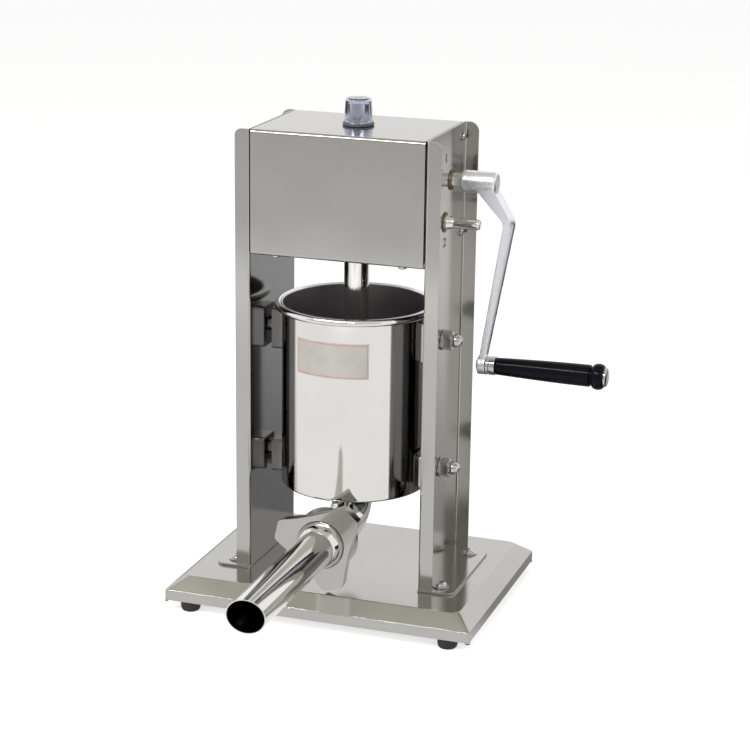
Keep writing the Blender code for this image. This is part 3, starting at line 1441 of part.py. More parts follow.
def crank_arm(crank):
    x = HUB_START
    centre = (HUB_RADIUS - HUB_ROUND, HUB_LENGTH - HUB_ROUND)
    crown = arc(centre, HUB_ROUND, 0, math.pi / 2, CORNER_STEPS)
    profile = [(0, 0), (HUB_RADIUS, 0), *crown, (0, HUB_LENGTH)]
    hub = turned(profile, SMALL_SIDES)
    quarter_turn = Matrix.Rotation(math.pi / 2, 3, "Y")
    bmesh.ops.rotate(hub, verts=hub.verts[:], cent=(0, 0, 0), matrix=quarter_turn)
    bmesh.ops.translate(hub, verts=hub.verts[:], vec=(x, 0, 0))
    made = piece("crank_arm", hub, "cast", crank)
    fuse(made, tool("add_crank_run", skinned(arm_rings()), crank))
    edge = BOSS_EDGE
    boss = [
        (0, 0),
        (BOSS_RADIUS - edge, 0),
        (BOSS_RADIUS, edge),
        (BOSS_RADIUS, BOSS_LENGTH - edge),
        (BOSS_RADIUS - edge, BOSS_LENGTH),
        (0, BOSS_LENGTH),
    ]
    spot = (BOSS_X, 0, -CRANK_RADIUS)
    fuse(made, tool("add_crank_boss", turned(boss, SMALL_SIDES), crank, spot, ALONG_X))
    ends = (x - OVERRUN, x + HUB_BORE_DEPTH + FIT)
    cut(made, keyed_bore("cut_crank_bore", SHAFT_RADIUS, SHAFT_FLAT, *ends, crank))
    ends = (BOSS_X - OVERRUN, BOSS_X + BOSS_LENGTH + OVERRUN)
    hole = pins([(0, -CRANK_RADIUS)], SPINDLE_RADIUS + FIT, *ends, "YZ", SCREW_SIDES)
    cut(made, tool("cut_crank_spindle_hole", hole, crank))
    place = [(x + SET_SCREW_X, 0)]
    thread = pins(place, SET_SCREW_RADIUS + FIT, 0, HUB_RADIUS + OVERRUN, "XZ", SCREW_SIDES)
    cut(made, tool("cut_crank_screw_hole", thread, crank))


def crank_set_screw(crank):
    """A grub screw that bears on the shaft's rear flat, with a hexagon socket."""
    near = SHAFT_FLAT + FIT
    far = HUB_RADIUS - SET_SCREW_SUNK
    outline = circle(SET_SCREW_RADIUS, SCREW_SIDES, (HUB_START + SET_SCREW_X, 0))
    made = piece("crank_set_screw", prism(outline, near, far, "XZ"), "machined", crank)
    socket = circle(SET_SCREW_SOCKET, 6, (HUB_START + SET_SCREW_X, 0))
    depth = (near + far) / 2
    shape = prism(socket, depth, far + OVERRUN, "XZ")
    cut(made, tool("cut_set_screw_socket", shape, crank))


def grip_parts(crank, grip):
    bore = SPINDLE_RADIUS + FIT
    below = (0, 0, -CRANK_RADIUS)
    head = BOSS_X - FIT
    end = END_CAP_X + END_CAP_RECESS - FIT
    spindle = [
        (0, head - SPINDLE_HEAD_HEIGHT),
        (SPINDLE_HEAD - SPINDLE_HEAD_HEIGHT / 2, head - SPINDLE_HEAD_HEIGHT),
        (SPINDLE_HEAD, head - SPINDLE_HEAD_HEIGHT / 2),
        (SPINDLE_HEAD, head),
        (SPINDLE_RADIUS, head),
        (SPINDLE_RADIUS, end),
        (0, end),
    ]
    piece("grip_spindle", turned(spindle, SCREW_SIDES), "bright", crank, below, ALONG_X)
    cap_top = END_CAP_X + END_CAP_HEIGHT
    cap = [
        (0, END_CAP_X + END_CAP_RECESS),
        (bore, END_CAP_X + END_CAP_RECESS),
        (bore, END_CAP_X),
        (END_CAP_RADIUS, END_CAP_X),
        (END_CAP_RADIUS, END_CAP_X + END_CAP_HEIGHT / 3),
        (END_CAP_RADIUS * BUTTON_CROWN_SHARE, cap_top),
        (0, cap_top),
    ]
    piece("grip_end_cap", turned(cap, SMALL_SIDES), "bright", crank, below, ALONG_X)
    edge = FERRULE_EDGE
    ferrule = [
        (bore, FERRULE_X),
        (FERRULE_RADIUS - edge, FERRULE_X),
        (FERRULE_RADIUS, FERRULE_X + edge),
        (FERRULE_RADIUS, FERRULE_X + FERRULE_LENGTH - edge),
        (FERRULE_RADIUS - edge, FERRULE_X + FERRULE_LENGTH),
        (bore, FERRULE_X + FERRULE_LENGTH),
    ]
    piece("grip_ferrule", turned(ferrule, SMALL_SIDES), "bright", grip, turn=ALONG_X)
    piece("grip", turned(grip_profile(bore), SMALL_SIDES), "black", grip, turn=ALONG_X)


def grip_profile(bore):
    """A grip that swells outwards, is waisted near its end and closes in a round bead."""
    end = GRIP_X + GRIP_LENGTH
    bead = end - GRIP_BEAD_LENGTH
    swell_end = bead - GRIP_WAIST_LENGTH
    edge = GRIP_EDGE
    profile = [(bore, GRIP_X), (GRIP_NECK_RADIUS - edge, GRIP_X), (GRIP_NECK_RADIUS, GRIP_X + edge)]
    for share in GRIP_SWELL_SHARES:
        radius = GRIP_NECK_RADIUS + (GRIP_SWELL_RADIUS - GRIP_NECK_RADIUS) * math.sin(
            share * math.pi / 2
        )
        profile.append((radius, GRIP_X + share * (swell_end - GRIP_X)))
    profile.append((GRIP_WAIST_RADIUS, bead - GRIP_WAIST_LENGTH / 2))
    for i in range(2 * CORNER_STEPS + 1):
        a = math.pi * i / (2 * CORNER_STEPS)
        swell = (GRIP_BEAD_RADIUS - GRIP_WAIST_RADIUS) * math.sin(a)
        middle = bead + GRIP_BEAD_LENGTH * (1 - math.cos(a)) / 2
        profile.append((GRIP_WAIST_RADIUS + swell, middle))
    profile.append((bore, end))
    return profile


def stand_on_middle(stand):
    """Moves the stand so that the middle of the whole footprint is at X = Y = 0."""
    bpy.context.view_layer.update()
    graph = bpy.context.evaluated_depsgraph_get()
    corners = []
    for obj in bpy.data.objects:
        if obj.type == "MESH" and not obj.hide_render:
            shown = obj.evaluated_get(graph)
            corners += [shown.matrix_world @ vertex.co for vertex in shown.data.vertices]
    for i in (0, 1):
        values = [corner[i] for corner in corners]
        stand.location[i] = -(min(values) + max(values)) / 2


def main():
    clear_scene()
    stand = axis("cylinder_axis")
    crank = axis("crank_axis", (0, DRIVE_Y, DRIVE_Z), stand)
    grip = axis("grip_axis", (0, 0, -CRANK_RADIUS), crank)
    slow = axis("slow_axis", (0, SLOW_AXIS_Y, SLOW_Z), stand)
    rack = axis("rack_axis", parent=stand)
    cap = axis("cap_axis", parent=rack)
    nozzle_axis = axis("nozzle_axis", (0, 0, NOZZLE_Z), stand)
    nut_axis = axis("nut_axis", parent=nozzle_axis)

    base_pan(stand)
    feet(stand)
    slow_hole = (SLOW_AXIS_Y, SLOW_Z)
    post(stand, "left_post", -1, drive_bush_holes())
    post(stand, "right_post", 1, drive_bush_holes() + [slow_hole])
    post_bolts(stand)

    gearbox_cover(stand)
    gear_frame(stand)
    gearbox_screws(stand)
    bushes(stand)
    guide_bushes(stand)

    drive_shaft(crank)
    rack_pinion(crank)
    bull_gear(crank)
    crank_arm(crank)
    crank_set_screw(crank)
    grip_parts(crank, grip)
    slow_shaft(slow)
    slow_pinion(slow)

    rack_bar(rack)
    piston(rack)
    rack_cap(cap)

    cylinder(stand)
    studs_and_nuts(stand)
    spout(stand)
    nozzle(nozzle_axis)
    nozzle_nut(nut_axis)

    stand_on_middle(stand)
    print("stand moved by", tuple(round(c / MM, 3) for c in stand.location), "mm")
    print("drive axis", DRIVE_Y / MM, DRIVE_Z / MM, "slow axis", SLOW_AXIS_Y / MM, SLOW_Z / MM)


main()
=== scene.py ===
"""Looks of an upright hand-cranked sausage stuffer, modelled round its fixed frame."""

import json
import math

import bmesh
import bpy
from bpy.props import FloatProperty, FloatVectorProperty, IntProperty, PointerProperty
from bpy.types import Operator, Panel, PropertyGroup
from mathutils import Matrix, Vector


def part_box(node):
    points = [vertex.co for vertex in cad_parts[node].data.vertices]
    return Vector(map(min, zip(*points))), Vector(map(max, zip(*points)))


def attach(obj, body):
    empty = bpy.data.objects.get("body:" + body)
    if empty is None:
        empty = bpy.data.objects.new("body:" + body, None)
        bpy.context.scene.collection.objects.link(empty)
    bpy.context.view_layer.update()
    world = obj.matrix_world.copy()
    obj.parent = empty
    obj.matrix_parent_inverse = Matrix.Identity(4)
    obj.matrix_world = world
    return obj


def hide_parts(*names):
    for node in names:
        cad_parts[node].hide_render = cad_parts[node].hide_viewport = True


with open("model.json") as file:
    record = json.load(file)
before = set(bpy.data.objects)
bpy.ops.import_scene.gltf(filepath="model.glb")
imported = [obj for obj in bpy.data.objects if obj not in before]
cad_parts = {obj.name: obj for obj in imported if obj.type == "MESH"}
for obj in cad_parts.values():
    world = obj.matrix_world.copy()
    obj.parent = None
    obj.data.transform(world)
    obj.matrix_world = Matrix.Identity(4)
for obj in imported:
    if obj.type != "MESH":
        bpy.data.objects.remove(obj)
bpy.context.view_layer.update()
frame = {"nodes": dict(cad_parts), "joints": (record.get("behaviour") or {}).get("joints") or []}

bl_info = {
    "name": "Upright sausage stuffer",
    "version": (1, 0, 0),
    "blender": (4, 5, 0),
    "location": "3D View > Sidebar > Stuffer",
    "description": "Models the sheet, turned and cast pieces of a sausage stuffer and its studio",
    "category": "Object",
}

MM = 0.001
X, Y, Z = 0, 1, 2
MERGE = 0.002 * MM
NEAR = 0.05 * MM
OVERRUN = 2.0 * MM
RIGHT = Vector((1, 0, 0))
FRONT = Vector((0, -1, 0))
UP = Vector((0, 0, 1))


# Places taken from the frame. Lengths across are measured from the can's axis


def low(node, way):
    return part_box(node)[0][way]


def high(node, way):
    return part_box(node)[1][way]


def middle(node, way):
    return (low(node, way) + high(node, way)) / 2


def span(node, way):
    return high(node, way) - low(node, way)


AXIS = Vector((middle("piston_seal", X), middle("piston_seal", Y), 0))


def spot(x, y, z):
    """A point measured from the foot of the can's axis."""
    return AXIS + Vector((x, y, z))


BASE_TOP = high("base_pan", Z)
SKIRT_BOTTOM = low("base_pan", Z)
WEB_INNER = low("right_post", X) - AXIS.x
POST_HALF = span("gearbox_cover", Y) / 2
PLATE_BOTTOM = low("right_post", Z)
COVER_TOP = high("gearbox_cover", Z)
COVER_BOTTOM = low("gearbox_cover", Z)
COVER_HALF = span("gearbox_cover", X) / 2
CAN_TOP = high("cylinder", Z)
CAN_BOTTOM = low("cylinder", Z)
RIM_RADIUS = span("cylinder", Y) / 2
STUD_HEIGHTS = (middle("stud_left_lower", Z), middle("stud_left_upper", Z))
DRIVE_Y = middle("right_bush", Y) - AXIS.y
DRIVE_Z = middle("right_bush", Z)
SLOW_Y = middle("slow_outer_bush", Y) - AXIS.y
SLOW_Z = middle("slow_outer_bush", Z)
NOZZLE_Z = middle("nozzle_gasket", Z)
HUB_START = low("crank_arm", X) - AXIS.x
GRIP_Z = middle("grip", Z)

# Sheet metal
SHEET_EASE = 0.25 * MM
POST_SHEET = 1.5 * MM
POST_BEND = 1.5 * MM
FLANGE_REACH = 14.4 * MM
FRONT_CORNER = 6.5 * MM
REAR_CORNER = 9.0 * MM
FOOT_PLATE = 2.0 * MM
FOOT_PLATE_SPREAD = 2.75 * MM
FOOT_PLATE_CORNER = 9.0 * MM
COVER_SHEET = 1.2 * MM
COVER_BEND = 2.2 * MM
COVER_LIP = 12.0 * MM
BASE_SHEET = 1.2 * MM
BASE_CORNER = 3.0 * MM
BASE_TOP_SWELL = 3.2
BASE_LIP = 20.0 * MM
SKIRT_HEIGHT = 10.2 * MM
BEVEL_RUN = 14.4 * MM
BEVEL_RISE = BASE_TOP - SKIRT_BOTTOM - SKIRT_HEIGHT
WEB_OUTER = WEB_INNER + POST_SHEET
PLATE_TOP = PLATE_BOTTOM + FOOT_PLATE

# Can
RIM_REACH = 7.0 * MM
RIM_ROLL = 3.35 * MM
CAN_RADIUS = RIM_RADIUS - RIM_REACH
CAN_WALL = 1.0 * MM
CAN_CORNER = 2.5 * MM
CAN_LIP = 1.2 * MM
CAN_GROOVE = 1.5 * MM
OUTLET_RADIUS = 17.0 * MM
BLOCK_HALF = 14.0 * MM
BLOCK_CORNER = 3.0 * MM
BLOCK_WELD = 0.5 * MM
BLOCK_FACE = WEB_INNER - 4.0 * MM
BLOCKS = (
    ("lower", STUD_HEIGHTS[0], 12.0 * MM, 20.0 * MM),
    ("upper", STUD_HEIGHTS[1], 18.0 * MM, 22.0 * MM),
)

# Studs and their domed nuts
STUD_RADIUS = 5.0 * MM
STUD_COLLAR = 8.0 * MM
STUD_COLLAR_LENGTH = 2.7 * MM
THREAD_PITCH = 1.25 * MM
THREAD_DEPTH = 0.5 * MM
WASHER_RADIUS = 10.0 * MM
WASHER_HEIGHT = 2.0 * MM
NUT_FLATS = 16.5 * MM
NUT_HEIGHT = 7.8 * MM
NUT_DOME = 6.5 * MM
NUT_DOME_RISE = 10.2 * MM

FIT = 0.3 * MM


# Modelling by hand: chains, drawn and turned shapes, cuts


def deselect():
    if bpy.context.mode != "OBJECT":
        bpy.ops.object.mode_set(mode="OBJECT")
    bpy.ops.object.select_all(action="DESELECT")


def only(obj):
    deselect()
    obj.select_set(True)
    bpy.context.view_layer.objects.active = obj


def applied():
    """Makes the active object's place, turn and scale part of its mesh."""
    bpy.ops.object.transform_apply(location=True, rotation=True, scale=True)
    return bpy.context.object


def modify(obj, kind, **settings):
    """Adds a modifier with its settings and applies it."""
    only(obj)
    step = obj.modifiers.new("step", kind)
    for name, value in settings.items():
        setattr(step, name, value)
    bpy.ops.object.modifier_apply(modifier=step.name)


def chain(name, points, closed):
    """Draws edges from point to point by extruding one vertex, and stays in edit mode."""
    deselect()
    bpy.ops.mesh.primitive_plane_add(size=MM, location=points[0])
    obj = bpy.context.object
    obj.name = name
    bpy.ops.object.transform_apply(location=True, rotation=False, scale=False)
    bpy.ops.object.mode_set(mode="EDIT")
    bpy.ops.mesh.merge(type="CENTER")
    for before, after in zip(points, points[1:]):
        step = {"value": after - before}
        bpy.ops.mesh.extrude_vertices_move(TRANSFORM_OT_translate=step)
    if closed:
        ends = (points[0], points[-1])
        pick(obj, "verts", lambda co: min((co - end).length for end in ends) < NEAR)
        bpy.ops.mesh.edge_face_add()
    bpy.ops.mesh.select_all(action="SELECT")
    return obj


def pick(obj, kind, test):
    """Selects the vertices, edges or faces whose middle passes the test, in edit mode."""
    bpy.ops.mesh.select_mode(type={"verts": "VERT", "edges": "EDGE", "faces": "FACE"}[kind])
    bpy.ops.mesh.select_all(action="DESELECT")
    mesh = bmesh.from_edit_mesh(obj.data)
    for item in getattr(mesh, kind):
        if kind == "verts":
            place = item.co
        elif kind == "edges":
            place = (item.verts[0].co + item.verts[1].co) / 2
        else:
            place = item.calc_center_median()
        if test(place):
            item.select_set(True)
    mesh.select_flush_mode()
    bmesh.update_edit_mesh(obj.data)
    bpy.ops.mesh.select_mode(type="VERT")


def clean(obj):
    """Merges doubles, turns the faces outwards and leaves edit mode."""
    bpy.ops.mesh.select_all(action="SELECT")
    bpy.ops.mesh.remove_doubles(threshold=MERGE)
    bpy.ops.mesh.normals_make_consistent(inside=False)
    bpy.ops.object.mode_set(mode="OBJECT")
    return obj


def drawn(name, outline, sweep):
    """A flat closed outline, filled and drawn out by the sweep."""
    obj = chain(name, outline, closed=True)
    bpy.ops.mesh.edge_face_add()
    bpy.ops.mesh.extrude_region_move(TRANSFORM_OT_translate={"value": sweep})
    return clean(obj)


def turned(name, profile, centre, along, sides=96):
    """Spins (radius, reach) points about the line through the centre."""
    across = UP if abs(along.x) > abs(along.z) else RIGHT
    points = [centre + across * radius + along * reach for radius, reach in profile]
    obj = chain(name, points, closed=profile[0][0] > 0)
    bpy.ops.mesh.spin(steps=sides, angle=math.tau, center=centre, axis=along)
    return clean(obj)


def rod(radius, start, end, sides=48):
    """A plain cylinder from start to end, used as a cutter or a blank."""
    deselect()
    line = end - start
    turn = line.to_track_quat("Z", "Y").to_euler()
    bpy.ops.mesh.primitive_cylinder_add(
        vertices=sides, radius=radius, depth=line.length, location=(start + end) / 2, rotation=turn
    )
    return applied()


def slab(centre, size):
    """A plain box, used as a cutter."""
    deselect()
    bpy.ops.mesh.primitive_cube_add(size=1, location=centre)
    bpy.ops.transform.resize(value=size)
    return applied()


def combine(target, other, operation):
    """Joins, cuts or keeps the common part of two solids, and removes the second."""
    modify(target, "BOOLEAN", operation=operation, solver="EXACT", object=other)
    bpy.data.objects.remove(other)
    return target


def drill(target, radius, *lines):
    """Cuts round holes along lines that start and end outside the work."""
    for start, end in lines:
        combine(target, rod(radius, start, end), "DIFFERENCE")


def soften(obj, width, segments=3, angle=30):
    """Rounds the sharp edges of a finished shape."""
    limit = {"limit_method": "ANGLE", "angle_limit": math.radians(angle)}
    modify(obj, "BEVEL", width=width, segments=segments, miter_outer="MITER_ARC", **limit)


def level(obj, angle):
    """Shades smooth up to the angle, and keeps the large flats flat."""
    only(obj)
    bpy.ops.object.shade_smooth_by_angle(angle=math.radians(angle))
    modify(obj, "WEIGHTED_NORMAL", mode="FACE_AREA", weight=90, keep_sharp=True)


def settle(obj, made, body, slot, *nodes, angle=32):
    """Shades a piece, gives it its finish, ties it to its body and hides the CAD nodes that it stands for.
    """
    only(obj)
    applied()
    level(obj, angle)
    obj.data.materials.clear()
    obj.data.materials.append(made)
    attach(obj, body)
    if nodes:
        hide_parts(*nodes)
    return obj


def repaint(obj, made, test):
    """Gives the faces whose middle passes the test a finish of their own."""
    obj.data.materials.append(made)
    only(obj)
    bpy.ops.object.mode_set(mode="EDIT")
    pick(obj, "faces", test)
    obj.active_material_index = len(obj.data.materials) - 1
    bpy.ops.object.material_slot_assign()
    bpy.ops.object.mode_set(mode="OBJECT")


def copied(obj, name, move=None, turn=0.0, way="Z"):
    """A copy with its own mesh, turned about the can's axis and moved."""
    only(obj)
    bpy.ops.object.duplicate(linked=False)
    twin = bpy.context.object
    twin.name = name
    if turn:
        twin.matrix_world = (
            Matrix.Translation(AXIS)
            @ Matrix.Rotation(turn, 4, way)
            @ Matrix.Translation(-AXIS)
            @ twin.matrix_world
        )
    if move:
        bpy.ops.transform.translate(value=move)
    applied()
    return twin


def arc(centre, radius, start, end, steps):
    """Points in a plane from one angle to another, both ends included."""
    angles = [start + (end - start) * i / steps for i in range(steps + 1)]
    return [
        (centre[0] + radius * math.cos(a), centre[1] + radius * math.sin(a))
        for a in angles
    ]


def rounded_rectangle(half_a, half_b, corner, steps=6):
    points = []
    for quarter, (sa, sb) in enumerate(((1, 1), (-1, 1), (-1, -1), (1, -1))):
        centre = (sa * (half_a - corner), sb * (half_b - corner))
        start = quarter * math.pi / 2
        points += arc(centre, corner, start, start + math.pi / 2, steps)
    return points


def strip(path, thickness, bend, steps=8):
    """The outline of a folded sheet. The path follows its outer face, with the sheet on the left."""
    path = [Vector(point) for point in path]
    runs = [(b - a).normalized() for a, b in zip(path, path[1:])]
    normals = [Vector((-run.y, run.x)) for run in runs]
    near = [path[0]]
    far = [path[0] + normals[0] * thickness]
    for corner, before, after in zip(path[1:-1], normals, normals[1:]):
        outer = bend + thickness
        centre = corner + (before + after) * outer / (1 + before.dot(after))
        for i in range(steps + 1):
            across = before.slerp(after, i / steps)
            near.append(centre - across * outer)
            far.append(centre - across * bend)
    near.append(path[-1])
    far.append(path[-1] + normals[-1] * thickness)
    return [tuple(point) for point in near + far[::-1]]


# Finishes. A noise mostly stays in the middle of its range

NOISE_MIDDLE = (0.3, 0.7)


def wired(owner, kind, sources=None, **settings):
    """Adds a node and feeds its inputs, by name or place, with other sockets or plain values."""
    tree = owner.node_tree
    node = tree.nodes.new(kind)
    for name, value in settings.items():
        setattr(node, name, value)
    for key, source in (sources or {}).items():
        if isinstance(source, bpy.types.NodeSocket):
            tree.links.new(source, node.inputs[key])
        else:
            node.inputs[key].default_value = source
    return node


def shader_of(made):
    return made.node_tree.nodes["Principled BSDF"]


def started(name, metallic, roughness):
    made = bpy.data.materials.new("finish_" + name)
    made.use_nodes = True
    shader = shader_of(made)
    shader.inputs["Metallic"].default_value = metallic
    shader.inputs["Roughness"].default_value = roughness
    return made


def noise(made, stretch, detail=2.0):
    """Noise on the piece's own coordinates, with a number of grains per metre each way."""
    place = wired(made, "ShaderNodeTexCoord").outputs["Object"]
    fit = wired(made, "ShaderNodeMapping", {"Vector": place, "Scale": stretch})
    fed = {"Vector": fit.outputs["Vector"], "Scale": 1.0, "Detail": detail}
    return wired(made, "ShaderNodeTexNoise", fed).outputs["Fac"]


def spread(made, source, lowest, highest):
    """Maps the middle of a noise to a range of values."""
    start, end = NOISE_MIDDLE
    fed = {"Value": source, "From Min": start, "From Max": end, "To Min": lowest, "To Max": highest}
    return wired(made, "ShaderNodeMapRange", fed).outputs["Result"]


def tinted(made, source, colour, contrast):
    """Varies the base colour a little about the colour."""
    ramp = wired(made, "ShaderNodeValToRGB", {"Fac": source})
    ends = ramp.color_ramp.elements
    ends[0].position, ends[1].position = NOISE_MIDDLE
    for end, side in zip(ends, (-1, 1)):
        end.color = [min(1.0, c * (1 + side * contrast)) for c in colour] + [1.0]
    made.node_tree.links.new(ramp.outputs["Color"], shader_of(made).inputs["Base Color"])


def roughened(made, source, lowest, highest):
    """Varies the roughness between two values."""
    result = spread(made, source, lowest, highest)
    made.node_tree.links.new(result, shader_of(made).inputs["Roughness"])


def bumped(made, source, depth, strength=1.0):
    fed = {"Strength": strength, "Distance": depth, "Height": source}
    bump = wired(made, "ShaderNodeBump", fed)
    made.node_tree.links.new(bump.outputs["Normal"], shader_of(made).inputs["Normal"])


def brushed(name, colour, grain, lowest, highest, depth):
    """Sheet with fine lines. The grain has few grains per metre along the lines and many across."""
    made = bpy.data.materials.get("finish_" + name)
    if made:
        return made
    made = started(name, 1.0, (lowest + highest) / 2)
    lines = noise(made, grain, detail=2.0)
    clouds = noise(made, evenly(14.0))
    tinted(made, clouds, colour, 0.03)
    roughened(made, clouds, lowest, highest)
    bumped(made, lines, depth, 0.5)
    return made


def evenly(count):
    return (count, count, count)


def grains(along, coarse=25.0, fine=3600.0):
    """Grains per metre for lines that run along the named ways."""
    return tuple(coarse if way in along else fine for way in "XYZ")


def colours(context):
    return context.scene.stuffer_colours


def sizes(context):
    return context.scene.stuffer_sizes


def sheet_steel(context, along):
    gloss = sizes(context).sheet_gloss
    name = "brushed_sheet_" + along
    return brushed(name, colours(context).steel, grains(along), gloss, gloss + 0.05, 0.003 * MM)


def polished_steel(context, along):
    name = "polished_steel_" + along
    return brushed(name, colours(context).polished, grains(along, 12.0), 0.06, 0.1, 0.0008 * MM)


def mill_steel(context):
    return brushed("mill_steel", colours(context).mill, grains("Z"), 0.1, 0.16, 0.003 * MM)


# Painted shade: steel darker than the can's polished steel, put on the can's inner faces to stand in for the
# shade inside the can
def painted_shade_steel(context):
    grain = grains("XY", 12.0)
    return brushed("can_inside", colours(context).inside, grain, 0.34, 0.42, 0.002 * MM)


def bright_steel(context):
    return brushed("bright_steel", colours(context).bright, evenly(500.0), 0.08, 0.14, 0.002 * MM)


def machined_steel(context):
    colour = colours(context).machined
    return brushed("machined_steel", colour, evenly(700.0), 0.22, 0.36, 0.004 * MM)


def bronze(context):
    colour = colours(context).bronze
    return brushed("sintered_bronze", colour, evenly(1200.0), 0.3, 0.5, 0.01 * MM)


def cast_aluminium(context):
    made = bpy.data.materials.get("finish_cast_aluminium")
    if made:
        return made
    made = started("cast_aluminium", 1.0, 0.35)
    skin = noise(made, evenly(420.0), detail=4.0)
    tinted(made, skin, colours(context).cast, 0.06)
    roughened(made, skin, 0.26, 0.42)
    bumped(made, skin, 0.05 * MM, 0.35)
    return made


def plastic(name, colour, lowest, highest, depth=0.004 * MM, grain=900.0):
    made = bpy.data.materials.get("finish_" + name)
    if made:
        return made
    made = started(name, 0.0, (lowest + highest) / 2)
    skin = noise(made, evenly(grain), detail=3.0)
    tinted(made, skin, colour, 0.08)
    roughened(made, skin, lowest, highest)
    bumped(made, skin, depth, 0.3)
    return made


def grip_plastic(context):
    made = plastic("black_grip", colours(context).grip, 0.12, 0.18)
    shader_of(made).inputs["Specular IOR Level"].default_value = 0.11
    return made


def nylon(context):
    return plastic("pale_nylon", colours(context).nylon, 0.35, 0.5)


def black_nylon(context):
    return plastic("black_nylon", colours(context).guide, 0.3, 0.42)


def silicone(context):
    made = plastic("silicone", colours(context).silicone, 0.4, 0.55)
    shader_of(made).inputs["Subsurface Weight"].default_value = 0.15
    shader_of(made).inputs["Subsurface Scale"].default_value = 1.5 * MM
    return made


def rubber(context):
    return plastic("rubber_foot", colours(context).rubber, 0.6, 0.8, 0.03 * MM, 600.0)


def clear_plastic(context):
    made = bpy.data.materials.get("finish_clear_cap")
    if made:
        return made
    made = started("clear_cap", 0.0, 0.06)
    haze = noise(made, evenly(120.0))
    tinted(made, haze, colours(context).clear, 0.03)
    roughened(made, haze, 0.04, 0.1)
    shader = shader_of(made)
    shader.inputs["Transmission Weight"].default_value = 1.0
    shader.inputs["IOR"].default_value = 1.46
    return made


# Sheet-metal pieces


class STUFFER_OT_base(Operator):
    """Folds the base pan with its sloping rim and the lip underneath"""

    bl_idname = "stuffer.base"
    bl_label = "Base pan"

    def execute(self, context):
        wide, deep = span("base_pan", X), span("base_pan", Y)
        deselect()
        bpy.ops.mesh.primitive_plane_add(size=1, location=spot(0, 0, SKIRT_BOTTOM))
        pan = bpy.context.object
        pan.name = "base_pan_sheet"
        bpy.ops.transform.resize(value=(wide, deep, 1))
        applied()
        bpy.ops.object.mode_set(mode="EDIT")
        bpy.ops.mesh.select_all(action="SELECT")
        bpy.ops.mesh.bevel(affect="VERTICES", offset=BASE_CORNER, segments=6)
        bpy.ops.mesh.select_all(action="SELECT")
        bpy.ops.mesh.extrude_region_move(TRANSFORM_OT_translate={"value": UP * SKIRT_HEIGHT})
        bpy.ops.mesh.extrude_region_move(TRANSFORM_OT_translate={"value": UP * BEVEL_RISE})
        shrink = (1 - 2 * BEVEL_RUN / wide, 1 - 2 * BEVEL_RUN / deep, 1)
        bpy.ops.transform.resize(value=shrink, center_override=spot(0, 0, BASE_TOP))
        for a, b in ((1, 1), (1, -1), (-1, 1), (-1, -1)):
            edge = spot(a * (wide / 2 - BEVEL_RUN), b * (deep / 2 - BEVEL_RUN), BASE_TOP)
            pick(pan, "verts", lambda co: (co - edge).length < 2 * BASE_CORNER)
            bpy.ops.transform.resize(value=(BASE_TOP_SWELL, BASE_TOP_SWELL, 1), center_override=edge)
        pick(pan, "faces", lambda co: co.z < SKIRT_BOTTOM + NEAR)
        bpy.ops.mesh.inset(thickness=BASE_LIP, use_boundary=True)
        pick(pan, "faces", lambda co: co.z < SKIRT_BOTTOM + NEAR and (co - AXIS).xy.length < NEAR)
        bpy.ops.mesh.delete(type="FACE")
        clean(pan)
        soften(pan, sizes(context).base_rim, 5, 25)
        modify(pan, "SOLIDIFY", thickness=BASE_SHEET, offset=-1)
        bolt = 3.2 * MM
        for i in range(1, 5):
            bolt_at = Vector((middle(f"post_bolt_{i}", X), middle(f"post_bolt_{i}", Y), 0))
            top = bolt_at + UP * (BASE_TOP + OVERRUN)
            drill(pan, bolt, (top - UP * 3 * OVERRUN, top))
        settle(pan, sheet_steel(context, "X"), "stand", "brushed_sheet", "base_pan")
        return {"FINISHED"}


class STUFFER_OT_feet(Operator):
    """Turns one rubber foot and copies it to the four corners"""

    bl_idname = "stuffer.feet"
    bl_label = "Rubber feet"

    def execute(self, context):
        names = ("foot_front_left", "foot_front_right", "foot_rear_right", "foot_rear_left")
        sole, radius, dimple = 6.8 * MM, span(names[0], X) / 2, 0.4 * MM
        shoulder, neck, barb = SKIRT_BOTTOM - FIT, 3.4 * MM, 4.7 * MM
        lip_top = SKIRT_BOTTOM + BASE_SHEET + FIT
        dome = [
            (sole + (radius - sole) * math.sin(a), shoulder / 2 * (1 - math.cos(a)))
            for a in [math.pi / 2 * i / 8 for i in range(9)]
        ]
        profile = [(0, dimple), (sole * 0.45, dimple), (sole * 0.55, 0), *dome]
        profile += [(radius, shoulder), (neck, shoulder), (neck, lip_top), (barb, lip_top)]
        profile += [(neck, high(names[0], Z)), (0, high(names[0], Z))]
        for name in names:
            at = Vector((middle(name, X), middle(name, Y), 0))
            foot = turned(name + "_rubber", profile, at, UP, 48)
            soften(foot, 0.4 * MM, 2, 40)
            settle(foot, rubber(context), "stand", "rubber_foot", name)
        return {"FINISHED"}


